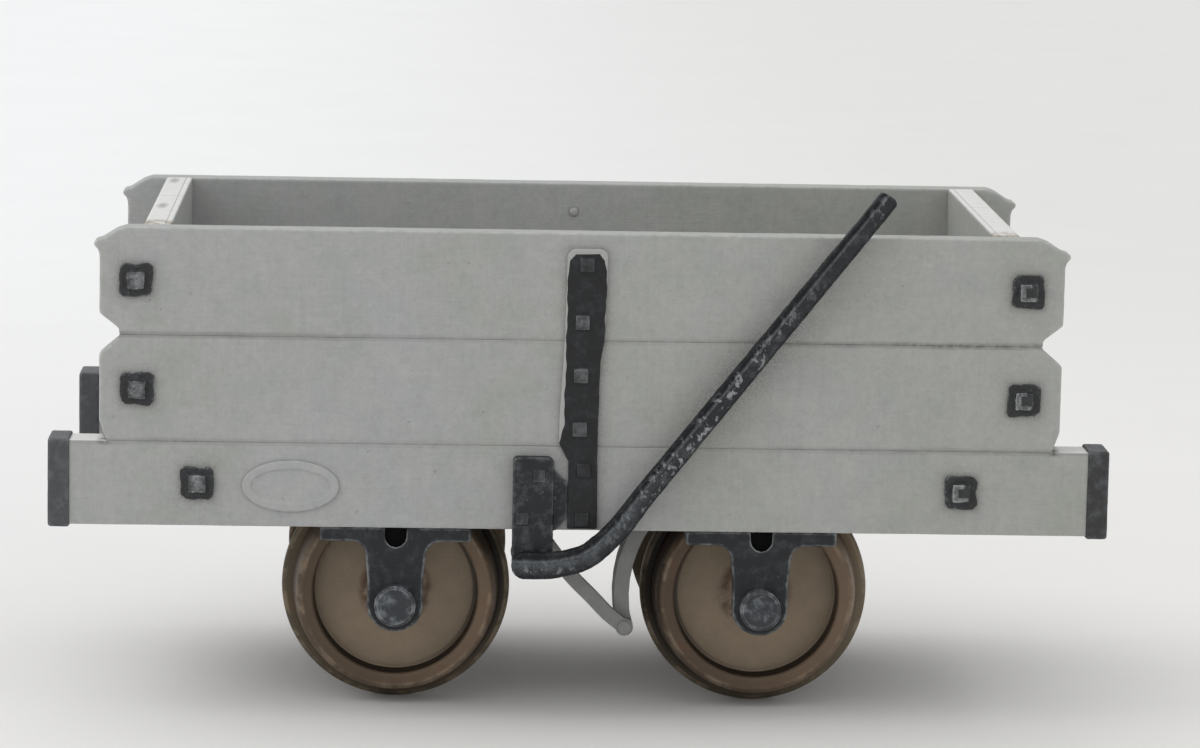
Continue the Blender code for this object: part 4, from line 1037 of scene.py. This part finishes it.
def convexity(loop, steps):
    """How far each point of a closed loop stands out of a smoothed copy of the loop."""
    smooth = loop.copy()
    for _ in range(steps):
        smooth = 0.5 * smooth + 0.25 * (np.roll(smooth, 1, axis=0) + np.roll(smooth, -1, axis=0))
    tangent = np.roll(loop, -1, axis=0) - np.roll(loop, 1, axis=0)
    normal = np.stack([tangent[:, 1], -tangent[:, 0]], axis=1)
    normal /= np.linalg.norm(normal, axis=1, keepdims=True)
    area = 0.5 * np.sum(loop[:, 0] * np.roll(loop[:, 1], -1) - np.roll(loop[:, 0], -1) * loop[:, 1])
    return ((loop - smooth) * normal).sum(axis=1) * np.sign(area)


def ring_faces(rings):
    """Quads between neighbouring rings of WHEEL_SEGMENTS points, and from the last ring to the first."""
    faces = []
    for ring in range(rings):
        first = ring * WHEEL_SEGMENTS
        second = (ring + 1) % rings * WHEEL_SEGMENTS
        for step in range(WHEEL_SEGMENTS):
            after = (step + 1) % WHEEL_SEGMENTS
            faces.append((first + step, first + after, second + after, second + step))
    return faces


def face_outwards(mesh):
    shape = bmesh.new()
    shape.from_mesh(mesh)
    bmesh.ops.recalc_face_normals(shape, faces=shape.faces[:])
    shape.to_mesh(mesh)
    shape.free()


def paint_wheel(mesh, radius, along, turn, centre, rise):
    """The wheel's attributes. The sides that the two wheels turn to each other get painted shade."""
    flange = centre.z
    # the sides the wheels turn to each other, under the body, get painted shade
    facing = 0.5 if centre.x < 0 else math.pi - 0.5
    shaded = np.clip(0.35 + 0.65 * np.cos(turn - facing), 0.0, 1.0)
    wall_shade = (radius > WEB_EDGE - 0.0008) & (radius < WEB_EDGE + 0.0035)
    wall_shade &= (along > WEB_FACE - 0.001) & (along < RIM_FACE - 0.007)
    tread = radius > TREAD_FRONT * flange - 0.001
    tread &= (along > FLANGE_FACE - 0.001) & (along < RIM_FACE - 0.010)
    root = (1.0 - climb(along, WHEEL_BACK + 0.030, 0.004)) * (1.0 - climb(radius, 0.240, 0.006))
    add_attribute(mesh, "radius", radius)
    # painted shade on the inside of the rim, darker at the bottom
    add_attribute(mesh, "wall_shade", wall_shade * (0.68 - 0.22 * np.sin(turn)))
    # painted light: lighter to the right on the rim, tread and flange, darker to the left
    add_attribute(mesh, "turned", np.where(radius > WEB_EDGE - 0.0005, 0.5 + 0.5 * np.cos(turn - 0.3), 0.5))
    # painted shade on the tread, heaviest by the flange
    add_attribute(mesh, "tread_shade", tread * shaded * (0.35 + 0.6 * root))
    add_attribute(mesh, "shaded", shaded)
    add_attribute(mesh, "edge", np.clip(rise / 0.0012, -1.0, 1.0))


def wheel_mesh(name, centre, side):
    """A disc wheel turned about the axle: hub, dished web, rim, coned tread and flange."""
    loop = evenly(rounded(wheel_profile(flange=centre.z)), PROFILE_STEP)
    radius = np.repeat(loop[:, 0], WHEEL_SEGMENTS)
    along = np.repeat(loop[:, 1], WHEEL_SEGMENTS)
    turn = np.tile(np.arange(WHEEL_SEGMENTS) * (2 * math.pi / WHEEL_SEGMENTS), len(loop))
    outwards = -1.0 if side == "near" else 1.0
    points = np.stack(
        [centre.x + radius * np.cos(turn), outwards * along, centre.z + radius * np.sin(turn)], axis=1
    )
    mesh = bpy.data.meshes.new(name)
    mesh.from_pydata(points.tolist(), [], ring_faces(len(loop)))
    face_outwards(mesh)
    paint_wheel(mesh, radius, along, turn, centre, np.repeat(convexity(loop, 14), WHEEL_SEGMENTS))
    mesh.shade_smooth()
    return mesh


def wheelsets():
    iron = wheel_iron()
    steel = axle_steel()
    for end in ENDS:
        centre = PIVOTS[f"wheelset_{end}_spin"]
        for side in SIDES:
            node = f"wheel_{side}_{end}"
            place(node, wheel_mesh(node, centre, side), iron)
        node = f"axle_{end}"
        place(node, refined(node, AXLE_VOXEL, soften=2, lumps=AXLE_LUMPS), steel)


# ---- Stage ----
FOCAL_LENGTH, SENSOR_WIDTH = 145.047, 36.0      # millimetres
CAMERA_AT = (-0.3528, -10.9133, 2.317)
CAMERA_TURNS = (("Z", -2.16), ("X", -8.463), ("Y", -1.101), ("X", 90.0))      # degrees, in this order
FLOOR_REACH = 60.0
WORLD_COLOUR, WORLD_STRENGTH = (0.98, 0.99, 1.0, 1.0), 0.79
KEY_COLOUR, KEY_ENERGY, KEY_ANGLE = (1.0, 0.99, 0.97), 0.98, 75.0
KEY_TURNS = (-10.0, -22.0, 0.0)
FILL_AT, FILL_AIM = (-3.2, -3.0, 2.9), (-0.6, -0.5, 0.6)
FILL_ENERGY, FILL_SIZE = 20.0, 2.5


def camera():
    """The photo's camera, matched to the wagon's edges."""
    data = bpy.data.cameras.new("camera")
    data.sensor_width = SENSOR_WIDTH
    data.lens = FOCAL_LENGTH
    data.clip_end = 200.0
    obj = linked("camera", data)
    matrix = Matrix.Translation(CAMERA_AT)
    for axis, degrees in CAMERA_TURNS:
        matrix = matrix @ Matrix.Rotation(math.radians(degrees), 4, axis)
    obj.matrix_world = matrix
    bpy.context.scene.camera = obj


def floor():
    """A wide pale sheet with painted light and shade: brightest far behind on the left and a little darker in
    front.
    """
    shader = Shader("pale_floor")
    across = shader.ramp(shader.axis("X"), -2.6, 2.6)
    back = shader.ramp(shader.axis("Y"), -2.0, 9.0)
    cloud = shader.noise(1.5, 3.0, 0.5)
    colour = shader.mix(back, shader.mix(across, *FLOOR_FRONT), shader.mix(across, *FLOOR_BACK))
    shader.finish(shader.shade(colour, cloud, 0.985, 1.015), 0.85, specular=0.1)
    corners = [(-1, -1), (1, -1), (1, 1), (-1, 1)]
    mesh = bpy.data.meshes.new("floor")
    mesh.from_pydata([(x * FLOOR_REACH, y * FLOOR_REACH, 0.0) for x, y in corners], [], [(0, 1, 2, 3)])
    mesh.materials.append(shader.material)
    linked("floor", mesh)


def lights():
    world = bpy.data.worlds.new("studio")
    world.use_nodes = True
    background = world.node_tree.nodes["Background"]
    background.inputs["Color"].default_value = WORLD_COLOUR
    background.inputs["Strength"].default_value = WORLD_STRENGTH
    bpy.context.scene.world = world
    key = bpy.data.lights.new("soft_key", "SUN")
    key.energy = KEY_ENERGY
    key.angle = math.radians(KEY_ANGLE)
    key.color = KEY_COLOUR
    linked("soft_key", key).rotation_euler = [math.radians(turn) for turn in KEY_TURNS]
    fill = bpy.data.lights.new("side_fill", "AREA")
    fill.energy = FILL_ENERGY
    fill.size = FILL_SIZE
    lamp = linked("side_fill", fill)
    lamp.location = FILL_AT
    lamp.rotation_euler = (Vector(FILL_AIM) - lamp.location).to_track_quat("-Z", "Y").to_euler()


def main():
    bpy.context.scene.view_settings.view_transform = "Standard"
    camera()
    floor()
    lights()
    timber()
    ironwork()
    wheelsets()


main()
